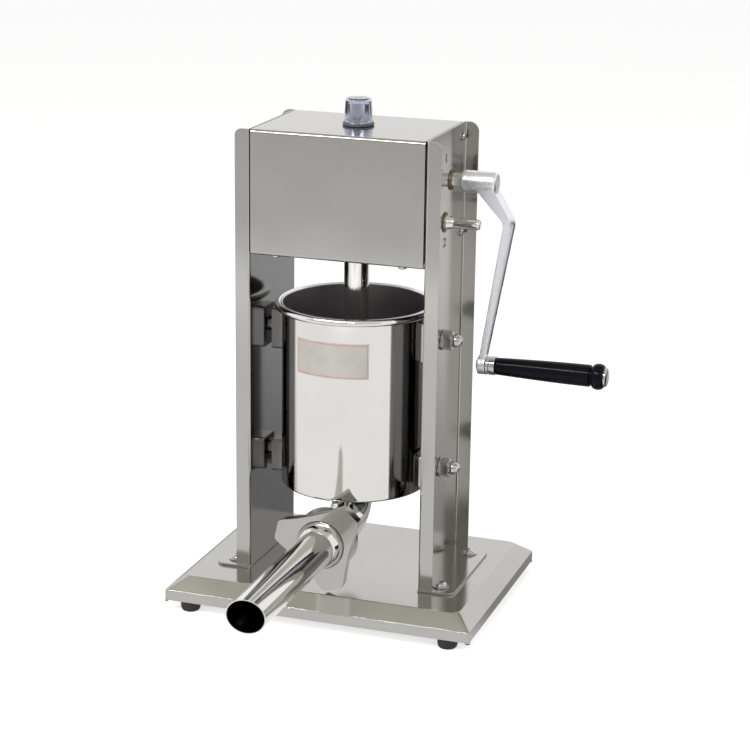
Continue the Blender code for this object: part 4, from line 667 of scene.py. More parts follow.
class STUFFER_OT_posts(Operator):
    """Folds the two channel posts and welds their foot plates on"""

    bl_idname = "stuffer.posts"
    bl_label = "Channel posts"

    def execute(self, context):
        bush = 9.8 * MM
        for name, side in (("left_post", -1), ("right_post", 1)):
            post = self.channel(name, side)
            plate = self.foot_plate(side)
            combine(post, plate, "UNION")
            inner, outer = side * (WEB_INNER - OVERRUN), side * (WEB_OUTER + OVERRUN)
            for z in STUD_HEIGHTS:
                drill(post, STUD_RADIUS + FIT, (spot(inner, 0, z), spot(outer, 0, z)))
            drill(post, bush, (spot(inner, DRIVE_Y, DRIVE_Z), spot(outer, DRIVE_Y, DRIVE_Z)))
            if side > 0:
                drill(post, bush, (spot(inner, SLOW_Y, SLOW_Z), spot(outer, SLOW_Y, SLOW_Z)))
            soften(post, SHEET_EASE, 2, 35)
            settle(post, sheet_steel(context, "Z"), "stand", "brushed_sheet", name)
            inner = WEB_INNER * side + AXIS.x
            repaint(post, mill_steel(context), lambda co: abs(co.x - inner) < NEAR)
        return {"FINISHED"}

    def channel(self, name, side):
        """A channel with its flanges outwards and their top corners rounded."""
        reach = WEB_INNER + FLANGE_REACH
        front = [(WEB_INNER, -POST_HALF), (reach, -POST_HALF)]
        path = [(x, -y) for x, y in front[::-1]] + front
        section = strip(path, POST_SHEET, POST_BEND)
        outline = [spot(side * x, y, PLATE_BOTTOM + FOOT_PLATE / 2) for x, y in section]
        rise = COVER_TOP - PLATE_BOTTOM - FOOT_PLATE / 2
        post = drawn(name + "_sheet", outline, UP * rise)
        for end, corner in ((-1, FRONT_CORNER), (1, REAR_CORNER)):
            only(post)
            bpy.ops.object.mode_set(mode="EDIT")
            tip = spot(side * reach, end * (POST_HALF - POST_SHEET / 2), COVER_TOP)
            pick(post, "edges", lambda co: (co - tip).length < NEAR)
            bpy.ops.mesh.bevel(offset=corner, segments=10, affect="EDGES")
            bpy.ops.object.mode_set(mode="OBJECT")
        return post

    def foot_plate(self, side):
        """The plate that the channel is welded to."""
        inner = WEB_INNER + POST_SHEET / 2
        outer = high("right_post", X) - AXIS.x
        half = POST_HALF + FOOT_PLATE_SPREAD
        corner = FOOT_PLATE_CORNER
        rim = arc((outer - corner, half - corner), corner, 0, math.pi / 2, 8)
        shape = rim + [(inner, half), (inner, -half)] + [(x, -y) for x, y in rim[::-1]]
        outline = [spot(side * x, y, PLATE_BOTTOM) for x, y in shape]
        return drawn("foot_plate", outline, UP * FOOT_PLATE)


class STUFFER_OT_cover(Operator):
    """Folds the gearbox cover and fits the black guide in its top"""

    bl_idname = "stuffer.cover"
    bl_label = "Gearbox cover"

    def execute(self, context):
        lip = POST_HALF - COVER_SHEET - COVER_LIP
        path = [
            (lip, COVER_BOTTOM),
            (POST_HALF, COVER_BOTTOM),
            (POST_HALF, COVER_TOP),
            (-POST_HALF, COVER_TOP),
            (-POST_HALF, COVER_BOTTOM),
            (-lip, COVER_BOTTOM),
        ]
        outline = [spot(-COVER_HALF, y, z) for y, z in strip(path, COVER_SHEET, COVER_BEND)]
        cover = drawn("gearbox_cover_sheet", outline, RIGHT * 2 * COVER_HALF)
        guide = "top_guide_bush"
        hole = span(guide, X) / 2 - 0.9 * MM
        top = spot(0, 0, COVER_TOP + OVERRUN)
        drill(cover, hole, (top - UP * 2 * OVERRUN, top))
        soften(cover, SHEET_EASE, 2, 35)
        settle(cover, sheet_steel(context, "X"), "stand", "brushed_sheet", "gearbox_cover")

        flange, body, bore = span(guide, X) / 2, hole - FIT, 12.3 * MM
        bottom, seat, rim = low(guide, Z), COVER_TOP + FIT, high(guide, Z)
        profile = [(bore, bottom), (body, bottom), (body, seat)]
        profile += [(flange, seat), (flange, rim), (bore, rim)]
        bush = turned("top_guide_bush_turned", profile, spot(0, 0, 0), UP)
        soften(bush, 0.5 * MM)
        settle(bush, black_nylon(context), "stand", "black_nylon", guide)
        return {"FINISHED"}


# Fasteners


def socket_cut(head, centre, flats, depth, along):
    """Sinks a hexagon socket into a head."""
    blank = rod(flats / math.sqrt(3), centre - along * depth, centre + along * OVERRUN, 6)
    combine(head, blank, "DIFFERENCE")


class STUFFER_OT_screws(Operator):
    """Turns the foot bolts and the small gearbox screws"""

    bl_idname = "stuffer.screws"
    bl_label = "Bolts and screws"

    def execute(self, context):
        steel = bright_steel(context)
        for i in range(1, 5):
            name = f"post_bolt_{i}"
            at = Vector((middle(name, X), middle(name, Y), 0))
            settle(self.bolt(name, at), steel, "stand", "fastener_steel", name)
        for i in range(1, 5):
            name = f"cover_screw_{i}"
            at = Vector((middle(name, X), middle(name, Y), COVER_BOTTOM - FIT))
            screw = self.pan_screw(name, at, -UP, high(name, Z) - at.z)
            settle(screw, steel, "stand", "fastener_steel", name)
        for hand, side in (("left", -1), ("right", 1)):
            for height in ("lower", "upper"):
                name = f"case_screw_{hand}_{height}"
                at = Vector((AXIS.x + side * (WEB_OUTER + FIT), middle(name, Y), middle(name, Z)))
                screw = self.pan_screw(name, at, RIGHT * side, span(name, X) - 2.6 * MM)
                settle(screw, steel, "stand", "fastener_steel", name)
        return {"FINISHED"}

    def bolt(self, name, at):
        """A low domed bolt with a socket, its washer, and its nut under the base."""
        washer, head, shank, nut = 8.0 * MM, 5.8 * MM, 3.0 * MM, 5.6 * MM
        washer_high, side, rise, tip = 1.2 * MM, 0.8 * MM, 2.4 * MM, 2.0 * MM
        flats, depth = 3.6 * MM, 1.6 * MM
        seat = PLATE_TOP + FIT
        top = seat + washer_high
        turns = [math.radians(70) * i / 8 for i in range(9)]
        crown = [(head * math.cos(a), top + side + rise * math.sin(a)) for a in turns]
        tail = low(name, Z)
        profile = [(0, tail), (shank, tail), (shank, seat), (washer, seat), (washer, top), (head, top)]
        made = turned(name + "_turned", [*profile, *crown, (0, crown[-1][1])], at, UP, 48)
        soften(made, 0.25 * MM, 2)
        centre = at + UP * crown[-1][1]
        socket_cut(made, centre, flats, depth, UP)
        under = at + UP * (BASE_TOP - BASE_SHEET - FIT)
        return combine(made, rod(nut, at + UP * (tail + tip), under, 6), "UNION")

    def pan_screw(self, name, at, way, length):
        """A screw whose head stands out along the way and whose shank goes back into the work."""
        radius, rise, shank = 4.0 * MM, 2.6 * MM, 2.0 * MM
        wide, long, deep = 0.9 * MM, 3.4 * MM, 1.1 * MM
        turns = [math.radians(72) * i / 8 for i in range(9)]
        crown = [(radius * math.cos(a) ** 0.5, rise * (0.35 + 0.65 * math.sin(a))) for a in turns]
        profile = [(0, -length), (shank, -length), (shank, 0), (radius, 0), *crown, (0, crown[-1][1])]
        made = turned(name + "_turned", profile, at, way, 40)
        across = UP if abs(way.z) < 0.5 else RIGHT
        for arm in (across, across.cross(way)):
            size = [wide + long * abs(a) + deep * abs(w) for a, w in zip(arm, way)]
            combine(made, slab(at + way * rise, size), "DIFFERENCE")
        return made


class STUFFER_OT_studs(Operator):
    """Turns the four threaded studs and their domed nuts with washers"""

    bl_idname = "stuffer.studs"
    bl_label = "Studs and domed nuts"

    def execute(self, context):
        steel = bright_steel(context)
        collar = WEB_INNER - FIT
        start = low("stud_right_lower", X) - AXIS.x
        tip = high("stud_right_lower", X) - AXIS.x
        r = STUD_RADIUS
        profile = [(0, start), (r - THREAD_DEPTH, start)]
        turns = int((collar - STUD_COLLAR_LENGTH - start) / THREAD_PITCH)
        for i in range(turns):
            foot = start + i * THREAD_PITCH
            profile += [(r, foot + THREAD_PITCH * 0.5), (r - THREAD_DEPTH, foot + THREAD_PITCH)]
        back = collar - STUD_COLLAR_LENGTH
        profile += [(r, back), (STUD_COLLAR, back), (STUD_COLLAR, collar), (r, collar), (r, tip), (0, tip)]
        heights = dict(zip(("lower", "upper"), STUD_HEIGHTS))
        stud = turned("stud_right_lower_turned", profile, spot(0, 0, heights["lower"]), RIGHT, 40)
        nut = self.domed_nut("acorn_nut_right_lower_turned", spot(0, 0, heights["lower"]), tip)
        rise = UP * (heights["upper"] - heights["lower"])
        for model, label in ((stud, "stud"), (nut, "acorn_nut")):
            upper = copied(model, f"{label}_right_upper_turned", move=rise)
            left = copied(model, f"{label}_left_lower_turned", turn=math.pi)
            left_upper = copied(left, f"{label}_left_upper_turned", move=rise)
            for made, name in (
                (model, "right_lower"),
                (upper, "right_upper"),
                (left, "left_lower"),
                (left_upper, "left_upper"),
            ):
                settle(made, steel, "stand", "fastener_steel", f"{label}_{name}")
        return {"FINISHED"}

    def domed_nut(self, name, centre, tip):
        """A chamfered hexagon with its dome and washer, bored for the stud."""
        edge, straight = 0.4 * MM, 1.2 * MM
        seat = WEB_OUTER + FIT
        washer_top = seat + WASHER_HEIGHT
        top = washer_top + NUT_HEIGHT
        corner = NUT_FLATS / math.sqrt(3)
        nut = rod(corner, centre + RIGHT * washer_top, centre + RIGHT * (top + NEAR), 6)
        nut.name = name
        drop = corner - NUT_FLATS / 2
        bound = [
            (0, washer_top - OVERRUN),
            (corner + MM, washer_top - OVERRUN),
            (corner + MM, top - drop * 0.6 - MM * 0.6),
            (NUT_FLATS / 2 - edge, top),
            (0, top),
        ]
        combine(nut, turned("chamfer", bound, centre, RIGHT), "INTERSECT")
        soften(nut, 0.25 * MM, 2)
        ball = [
            (NUT_DOME * math.cos(a), top + straight + (NUT_DOME_RISE - straight) * math.sin(a))
            for a in [math.pi / 2 * i / 14 for i in range(14)]
        ]
        neck = NUT_DOME - 0.5 * MM
        dome = [(0, top - MM), (neck, top - MM), (neck, top + 0.5 * MM)]
        dome += [*ball, (0, top + NUT_DOME_RISE)]
        combine(nut, turned("dome", dome, centre, RIGHT, 64), "UNION")
        washer = [(0, seat), (WASHER_RADIUS, seat), (WASHER_RADIUS, washer_top), (0, washer_top)]
        disc = turned("washer", washer, centre, RIGHT, 64)
        soften(disc, 0.3 * MM, 2)
        combine(nut, disc, "UNION")
        bottom = centre + RIGHT * (tip + FIT)
        drill(nut, STUD_RADIUS + FIT, (centre + RIGHT * (seat - OVERRUN), bottom))
        return nut


# Can, spout and nozzle


class STUFFER_OT_can(Operator):
    """Spins the can with its rolled rim and welds the slotted blocks to its sides"""

    bl_idname = "stuffer.can"
    bl_label = "Can"

    def execute(self, context):
        r, wall, roll = CAN_RADIUS, CAN_WALL, RIM_ROLL
        rim = (RIM_RADIUS - roll, CAN_TOP - roll)
        lip = (r - wall + CAN_LIP, CAN_TOP - CAN_LIP * 1.6)
        profile = [(OUTLET_RADIUS, CAN_BOTTOM)]
        profile += arc((r - CAN_CORNER, CAN_BOTTOM + CAN_CORNER), CAN_CORNER, -math.pi / 2, 0, 6)
        profile += [(r, CAN_TOP - 2 * roll - MM), (r + 0.6 * MM, CAN_TOP - 2 * roll)]
        profile += arc(rim, roll, -math.pi / 2, math.radians(140), 16)
        profile += [(r + 1.9 * MM, CAN_TOP - CAN_GROOVE)]
        profile += arc(lip, CAN_LIP, math.radians(50), math.pi, 8)
        inner = r - wall
        corner = CAN_CORNER - wall
        profile += arc((inner - corner, CAN_BOTTOM + wall + corner), corner, 0, -math.pi / 2, 5)
        profile += [(OUTLET_RADIUS, CAN_BOTTOM + wall)]
        can = turned("can_spun", profile, spot(0, 0, 0), UP, sizes(context).can_sides)
        made = polished_steel(context, "XY")
        settle(can, made, "stand", "polished_steel", "cylinder")
        inner, floor = CAN_RADIUS - CAN_WALL / 2, CAN_BOTTOM + CAN_WALL / 2
        # Painted shade: the faces inside the can take the darker steel
        repaint(can, painted_shade_steel(context), lambda co: (co - AXIS).xy.length < inner and co.z > floor)
        for hand, side in (("left", -1), ("right", 1)):
            for name, stud, above, below in BLOCKS:
                block = self.block(f"can_block_{hand}_{name}", side, stud, above, below)
                settle(block, sheet_steel(context, "Z"), "stand", "polished_steel", "cylinder")
        return {"FINISHED"}

    def block(self, name, side, stud, above, below):
        """A block shaped to the can. Upper slots open to the rear and lower ones downwards."""
        mid, tall = stud + (above - below) / 2, (above + below) / 2
        near, far = side * CAN_RADIUS * 0.8, side * BLOCK_FACE
        face = rounded_rectangle(BLOCK_HALF, tall, BLOCK_CORNER)
        outline = [spot(near, y, z + mid) for y, z in face]
        block = drawn(name, outline, RIGHT * (far - near))
        ends = (spot(0, 0, stud - 2 * tall), spot(0, 0, stud + 2 * tall))
        core = rod(CAN_RADIUS - BLOCK_WELD, *ends, 192)
        combine(block, core, "DIFFERENCE")
        slot = STUD_RADIUS + FIT
        start = side * (CAN_RADIUS + BLOCK_WELD)
        if "upper" in name:
            run = [(BLOCK_HALF + OVERRUN, stud - slot), (BLOCK_HALF + OVERRUN, stud + slot)]
            shape = arc((0, stud), slot, math.pi / 2, math.pi * 3 / 2, 16) + run
        else:
            foot = stud - below - OVERRUN
            shape = arc((0, stud), slot, 0, math.pi, 16) + [(-slot, foot), (slot, foot)]
        outline = [spot(start, y, z) for y, z in shape]
        cutter = drawn("slot", outline, RIGHT * (far - start + side * OVERRUN))
        combine(block, cutter, "DIFFERENCE")
        soften(block, 0.6 * MM, 3)
        return block


class STUFFER_OT_spout(Operator):
    """Bends the elbow under the can and turns its threaded collar"""

    bl_idname = "stuffer.spout"
    bl_label = "Spout elbow"

    def execute(self, context):
        radius, wall, plate, flange_r = 19.0 * MM, 2.0 * MM, 2.0 * MM, 25.0 * MM
        lap, neck, flare, thread = 0.5 * MM, 6.0 * MM, 3.4 * MM, 2 * THREAD_PITCH
        top = high("spout", Z)
        under = top - plate
        front = AXIS.y - low("spout", Y)
        bend = under - NOZZLE_Z
        collar_back = front - 18.5 * MM
        deselect()
        bpy.ops.mesh.primitive_circle_add(
            vertices=96, radius=radius, fill_type="NOTHING", location=spot(0, 0, top)
        )
        pipe = bpy.context.object
        pipe.name = "spout_elbow"
        applied()
        bpy.ops.object.mode_set(mode="EDIT")
        bpy.ops.mesh.select_all(action="SELECT")
        bpy.ops.mesh.extrude_region_move(TRANSFORM_OT_translate={"value": -UP * plate})
        hinge = spot(0, -bend, under)
        bpy.ops.mesh.spin(steps=24, angle=math.pi / 2, center=hinge, axis=RIGHT)
        bpy.ops.mesh.extrude_region_move(TRANSFORM_OT_translate={"value": FRONT * (front - bend)})
        clean(pipe)
        modify(pipe, "SOLIDIFY", thickness=wall, offset=-1, use_even_offset=True)
        steel = polished_steel(context, "XZ")
        settle(pipe, steel, "stand", "polished_steel", "spout")
        inner = radius - lap
        flange = [(inner, top), (inner, under), (flange_r, under), (flange_r, top)]
        ring = turned("spout_flange", flange, spot(0, 0, 0), UP)
        soften(ring, 0.4 * MM, 2)
        settle(ring, steel, "stand", "polished_steel", "spout")
        collar = span("nozzle_gasket", X) / 2 + 0.9 * MM
        profile = [(inner, collar_back - neck), (radius, collar_back - neck)]
        profile += [(radius + 2.5 * MM, collar_back - flare), (collar, collar_back)]
        turns = int((front - collar_back - 2 * MM) / thread)
        for i in range(turns):
            foot = collar_back + 1.5 * MM + i * thread
            profile += [(collar, foot + 0.9 * MM), (collar - MM, foot + 1.5 * MM)]
            profile += [(collar - MM, foot + 1.9 * MM), (collar, foot + thread)]
        profile += [(collar, front), (inner, front)]
        sleeve = turned("spout_collar", profile, spot(0, 0, NOZZLE_Z), FRONT)
        settle(sleeve, steel, "stand", "polished_steel", "spout")
        return {"FINISHED"}


class STUFFER_OT_nozzle(Operator):
    """Spins the filling nozzle, cuts its mouth on the slant and adds the gasket"""

    bl_idname = "stuffer.nozzle"
    bl_label = "Filling nozzle"

    def execute(self, context):
        wall = 1.0 * MM
        back = AXIS.y - high("nozzle", Y)
        flange_front = back + 2.0 * MM
        shoulder, tube = 22.6 * MM, 17.6 * MM
        dome_start, dome = flange_front + 5.0 * MM, 14.6 * MM
        reach = AXIS.y - low("nozzle", Y)
        curve = []
        for i in range(17):
            a = math.pi / 2 * i / 16
            ease = 0.35 * (1 - math.cos(a)) + 0.65 * math.sin(a)
            curve.append((tube + (shoulder - tube) * math.cos(a), dome_start + dome * ease))
        flange = span("nozzle", X) / 2
        outside = [(shoulder - wall, back), (flange, back), (flange, flange_front), (shoulder, flange_front)]
        outside += curve
        inside = [(r - wall, h - wall) for r, h in curve]
        tip = reach + OVERRUN
        profile = outside + [(tube, tip), (tube - wall, tip)] + inside[::-1]
        nozzle = turned("nozzle_spun", profile, spot(0, 0, NOZZLE_Z), FRONT, 128)
        slope_x, slope_z = -0.15, 0.23
        mouth = reach - tube * math.hypot(slope_x, slope_z)
        only(nozzle)
        bpy.ops.object.mode_set(mode="EDIT")
        bpy.ops.mesh.select_all(action="SELECT")
        bpy.ops.mesh.bisect(
            plane_co=spot(0, -mouth, NOZZLE_Z),
            plane_no=Vector((-slope_x, -1, -slope_z)),
            use_fill=True,
            clear_outer=True,
        )
        clean(nozzle)
        soften(nozzle, 0.3 * MM, 3, 40)
        steel = polished_steel(context, "XZ")
        settle(nozzle, steel, "filling_nozzle", "polished_steel", "nozzle")
        front, rear = AXIS.y - low("nozzle_gasket", Y), AXIS.y - high("nozzle_gasket", Y)
        outer = span("nozzle_gasket", X) / 2
        inner = outer - 6.0 * MM
        profile = [(inner, rear), (outer, rear), (outer, front), (inner, front)]
        gasket = turned("nozzle_gasket_ring", profile, spot(0, 0, NOZZLE_Z), FRONT)
        soften(gasket, 0.4 * MM, 2)
        settle(gasket, silicone(context), "filling_nozzle", "silicone", "nozzle_gasket")
        return {"FINISHED"}


class STUFFER_OT_winged_nut(Operator):
    """Cuts the three-winged nut from plate and turns its hub"""

    bl_idname = "stuffer.winged_nut"
    bl_label = "Winged nut"

    def execute(self, context):
        front, back = AXIS.y - low("nozzle_nut", Y), AXIS.y - high("nozzle_nut", Y)
        plate = 10.0 * MM
        tip, tip_half, wing_half, chamfer = 45.0 * MM, 8.5 * MM, 11.5 * MM, 3.4 * MM
        valley, hub = 28.8 * MM, 30.0 * MM
        outline = []
        for degrees in (47, 167, 287):
            turn = Matrix.Rotation(math.radians(degrees), 2)
            corners = [(tip - chamfer, wing_half), (tip, tip_half)]
            wing = [(x, -y) for x, y in corners] + corners[::-1]
            wing = [turn @ Vector(point) for point in wing]
            hollow = math.radians(degrees + 60)
            bottom = Vector((valley * math.cos(hollow), valley * math.sin(hollow)))
            onward = Matrix.Rotation(math.radians(120), 2) @ wing[0]
            outline += wing[:3] + self.side(wing[3], bottom, onward)
        back_face = front - plate
        points = [spot(p.x, -back_face, NOZZLE_Z + p.y) for p in outline]
        nut = drawn("nozzle_nut_plate", points, FRONT * plate)
        profile = [(0, back), (hub - 2 * MM, back), (hub, back + 2 * MM), (hub, front - plate / 2)]
        profile += [(0, front - plate / 2)]
        combine(nut, turned("hub", profile, spot(0, 0, NOZZLE_Z), FRONT), "UNION")
        bore, hole = span("spout", X) / 2 + 1.9 * MM, 22.9 * MM
        bore = max(bore, span("nozzle", X) / 2 + 0.9 * MM)
        lip_back = front - 6.4 * MM
        profile = [(0, back - OVERRUN), (bore, back - OVERRUN), (bore, lip_back), (hole, lip_back)]
        profile += [(hole, front - MM), (hole + MM, front)]
        profile += [(hole + MM, front + OVERRUN), (0, front + OVERRUN)]
        combine(nut, turned("bore", profile, spot(0, 0, NOZZLE_Z), FRONT), "DIFFERENCE")
        soften(nut, sizes(context).nut_edge, 4, 25)
        steel = sheet_steel(context, "XZ")
        settle(nut, steel, "winged_nut", "polished_steel", "nozzle_nut", angle=40)
        return {"FINISHED"}

    def side(self, start, bottom, end):
        """The circle through three points, from the first to just before the last."""
        (ax, ay), (bx, by), (cx, cy) = start, bottom, end
        turn = 2 * (ax * (by - cy) + bx * (cy - ay) + cx * (ay - by))
        sa, sb, sc = ax**2 + ay**2, bx**2 + by**2, cx**2 + cy**2
        ox = (sa * (by - cy) + sb * (cy - ay) + sc * (ay - by)) / turn
        oy = (sa * (cx - bx) + sb * (ax - cx) + sc * (bx - ax)) / turn
        first = math.atan2(ay - oy, ax - ox)
        last = math.atan2(cy - oy, cx - ox)
        sweep = (last - first + math.pi) % math.tau - math.pi
        points = arc((ox, oy), math.hypot(ax - ox, ay - oy), first, first + sweep, 20)
        return [Vector(point) for point in points[:-1]]


# Crank and its grip


class STUFFER_OT_crank(Operator):
    """Casts the cranked arm with its hub, hollow faces and boss"""

    bl_idname = "stuffer.crank"
    bl_label = "Crank arm"

    def execute(self, context):
        hub_r, hub_long, ease = 10.5 * MM, 33.0 * MM, 3.0 * MM
        root, knee, knee_drop, foot = 19.5 * MM, 45.7 * MM, 35.5 * MM, 22.6 * MM
        shaft_bore, shaft_depth, spindle_bore, screw_bore = 7.3 * MM, 25.0 * MM, 4.3 * MM, 2.8 * MM
        axis = spot(0, DRIVE_Y, DRIVE_Z)
        start = Vector((HUB_START + root, 0))
        bend = Vector((HUB_START + knee, -knee_drop))
        end = Vector((HUB_START + foot, GRIP_Z - DRIVE_Z))
        arm = self.run(axis, start, bend, end)
        crown = arc((hub_r - ease, HUB_START + hub_long - ease), ease, 0, math.pi / 2, 6)
        profile = [(0, HUB_START), (hub_r - MM, HUB_START), (hub_r, HUB_START + MM), *crown]
        hub = turned("hub", [*profile, (0, HUB_START + hub_long)], axis, RIGHT, 64)
        combine(arm, hub, "UNION")
        boss_at, boss_r, boss_long = HUB_START + root, 9.2 * MM, 7.5 * MM
        boss_end = boss_at + boss_long
        profile = [(0, boss_at), (boss_r, boss_at), (boss_r, boss_end), (0, boss_end)]
        combine(arm, turned("boss", profile, spot(0, DRIVE_Y, GRIP_Z), RIGHT, 64), "UNION")
        self.cast(arm)
        bore_end = axis + RIGHT * (HUB_START + shaft_depth)
        drill(arm, shaft_bore, (axis + RIGHT * (HUB_START - OVERRUN), bore_end))
        through = spot(boss_at, DRIVE_Y, GRIP_Z)
        far = through + RIGHT * (boss_long + OVERRUN)
        drill(arm, spindle_bore, (through - RIGHT * OVERRUN, far))
        screw = Vector((middle("crank_set_screw", X), axis.y, DRIVE_Z))
        drill(arm, screw_bore, (screw, screw - FRONT * (hub_r + OVERRUN)))
        settle(arm, cast_aluminium(context), "crank", "cast_aluminium", "crank_arm", angle=50)
        return {"FINISHED"}

    def run(self, axis, start, bend, end):
        """The dog-leg: its side outline, drawn out to its width, tapered and hollowed."""
        thick = (16.0 * MM, 7.8 * MM, 5.8 * MM)
        wide = (18.5 * MM, 18.0 * MM, 12.7 * MM)
        radius = 14.0 * MM
        before, after = (bend - start).normalized(), (end - bend).normalized()
        turn = before.angle(after)
        tangent = radius * math.tan(turn / 2)
        centre = bend - before * tangent + Vector((before.y, -before.x)) * radius
        lean = [math.atan2(-run.y, run.x) for run in (before, after)]
        steps = 12
        stations = [(start, lean[0], thick[0])]
        for i in range(steps + 1):
            angle = lean[0] + (lean[1] - lean[0]) * i / steps
            across = Vector((math.sin(angle), math.cos(angle)))
            stations.append((centre + across * radius, angle, thick[1]))
        stations.append((end, lean[1], thick[2]))
        outer, inner = [], []
        for place, angle, depth in stations:
            across = Vector((math.sin(angle), math.cos(angle))) * depth / 2
            outer.append(place + across)
            inner.append(place - across)
        half = wide[1] / 2
        outline = [axis + Vector((p.x, -half, p.y)) for p in outer + inner[::-1]]
        arm = drawn("crank_arm_cast", outline, -FRONT * 2 * half)
        only(arm)
        bpy.ops.object.mode_set(mode="EDIT")
        boss_z = axis.z + end.y
        pick(arm, "verts", lambda co: abs(co.z - boss_z) < wide[2])
        shrink = (1, wide[2] / wide[1], 1)
        bpy.ops.transform.resize(value=shrink, center_override=(axis.x, axis.y, boss_z))
        for edge in (outer, inner):
            self.hollow(arm, axis, edge)
        bpy.ops.object.mode_set(mode="OBJECT")
        return arm

    def hollow(self, arm, axis, edge):
        """Insets the faces along one side of the run and sinks them."""
        middles = [(a + b) / 2 for a, b in zip(edge, edge[1:])]
        places = [Vector((axis.x + m.x, axis.y, axis.z + m.y)) for m in middles]
        pick(arm, "faces", lambda co: any((co - place).length < 4 * NEAR for place in places))
        rib, sink = 2.6 * MM, 1.3 * MM
        bpy.ops.mesh.inset(thickness=rib, depth=-sink, use_even_offset=True)

    def cast(self, arm):
        """Melts the joins together as a casting does."""
        only(arm)
        arm.data.remesh_voxel_size = 0.55 * MM
        bpy.ops.object.voxel_remesh()
        modify(arm, "SMOOTH", factor=0.5, iterations=5)


class STUFFER_OT_grip(Operator):
    """Turns the ferrule, the black grip, its end cap and the spindle"""

    bl_idname = "stuffer.grip"
    bl_label = "Turning grip"

    def execute(self, context):
        line = spot(0, DRIVE_Y, GRIP_Z)
        bore, shank = 4.3 * MM, 4.0 * MM
        at, end = low("grip_ferrule", X) - AXIS.x, high("grip_ferrule", X) - AXIS.x
        radius = span("grip_ferrule", Z) / 2
        profile = [(bore, at), (radius, at), (radius, at + 1.6 * MM), (radius - 0.6 * MM, at + 2.2 * MM)]
        profile += [(radius - 0.6 * MM, at + 3.0 * MM), (radius, at + 3.6 * MM), (radius, end), (bore, end)]
        ferrule = turned("grip_ferrule_turned", profile, line, RIGHT, 64)
        soften(ferrule, 0.35 * MM, 2)
        settle(ferrule, bright_steel(context), "crank_grip", "polished_steel", "grip_ferrule")
        grip = turned("grip_moulded", self.swell(bore), line, RIGHT, 80)
        settle(grip, grip_plastic(context), "crank_grip", "black_grip", "grip", angle=40)
        at, end = low("grip_end_cap", X) - AXIS.x, high("grip_end_cap", X) - AXIS.x
        radius = span("grip_end_cap", Z) / 2
        crown = [
            (radius * math.cos(a), at + 1.2 * MM + (end - at - 1.2 * MM) * math.sin(a))
            for a in [math.pi / 2 * i / 10 for i in range(10)]
        ]
        cap = turned("grip_end_cap_turned", [(0, at), (radius, at), *crown, (0, end)], line, RIGHT, 64)
        drill(cap, bore, (line + RIGHT * (at - OVERRUN), line + RIGHT * (at + 1.6 * MM)))
        settle(cap, bright_steel(context), "crank", "fastener_steel", "grip_end_cap")
        at, end = low("grip_spindle", X) - AXIS.x, high("grip_spindle", X) - AXIS.x
        head = span("grip_spindle", Z) / 2
        profile = [(0, at), (head * 0.75, at), (head, at + 0.8 * MM), (head, at + 1.6 * MM)]
        profile += [(shank, at + 1.6 * MM), (shank, end), (0, end)]
        spindle = turned("grip_spindle_turned", profile, line, RIGHT, 40)
        soften(spindle, 0.2 * MM, 2)
        settle(spindle, bright_steel(context), "crank", "fastener_steel", "grip_spindle")
        return {"FINISHED"}

    def swell(self, bore):
        """The grip's profile: a swelling handle, a waist and a bead at the end."""
        start, end = low("grip", X) - AXIS.x, high("grip", X) - AXIS.x
        neck, belly, waist, bead = 8.2 * MM, 10.4 * MM, 8.9 * MM, span("grip", Z) / 2
        bead_long, waist_long, edge = 11.4 * MM, 2.4 * MM, 1.2 * MM
        bead_start = end - bead_long
        belly_end = bead_start - waist_long
        rounding = arc((start + edge, neck - edge), edge, math.pi, math.pi / 2, 5)
        profile = [(bore, start)] + [(radius, reach) for reach, radius in rounding]
        steps, run = 20, belly_end - start - edge
        for i in range(1, steps + 1):
            share = i / steps
            radius = neck + (belly - neck) * math.sin(share * math.pi / 2)
            profile.append((radius, start + edge + share * run))
        profile.append((waist, bead_start - waist_long * 0.45))
        for i in range(steps + 1):
            a = math.pi * i / steps
            radius = waist + (bead - waist) * math.sin(a)
            profile.append((radius, bead_start + bead_long * (1 - math.cos(a)) / 2))
        return [*profile, (bore, end)]


# Drive


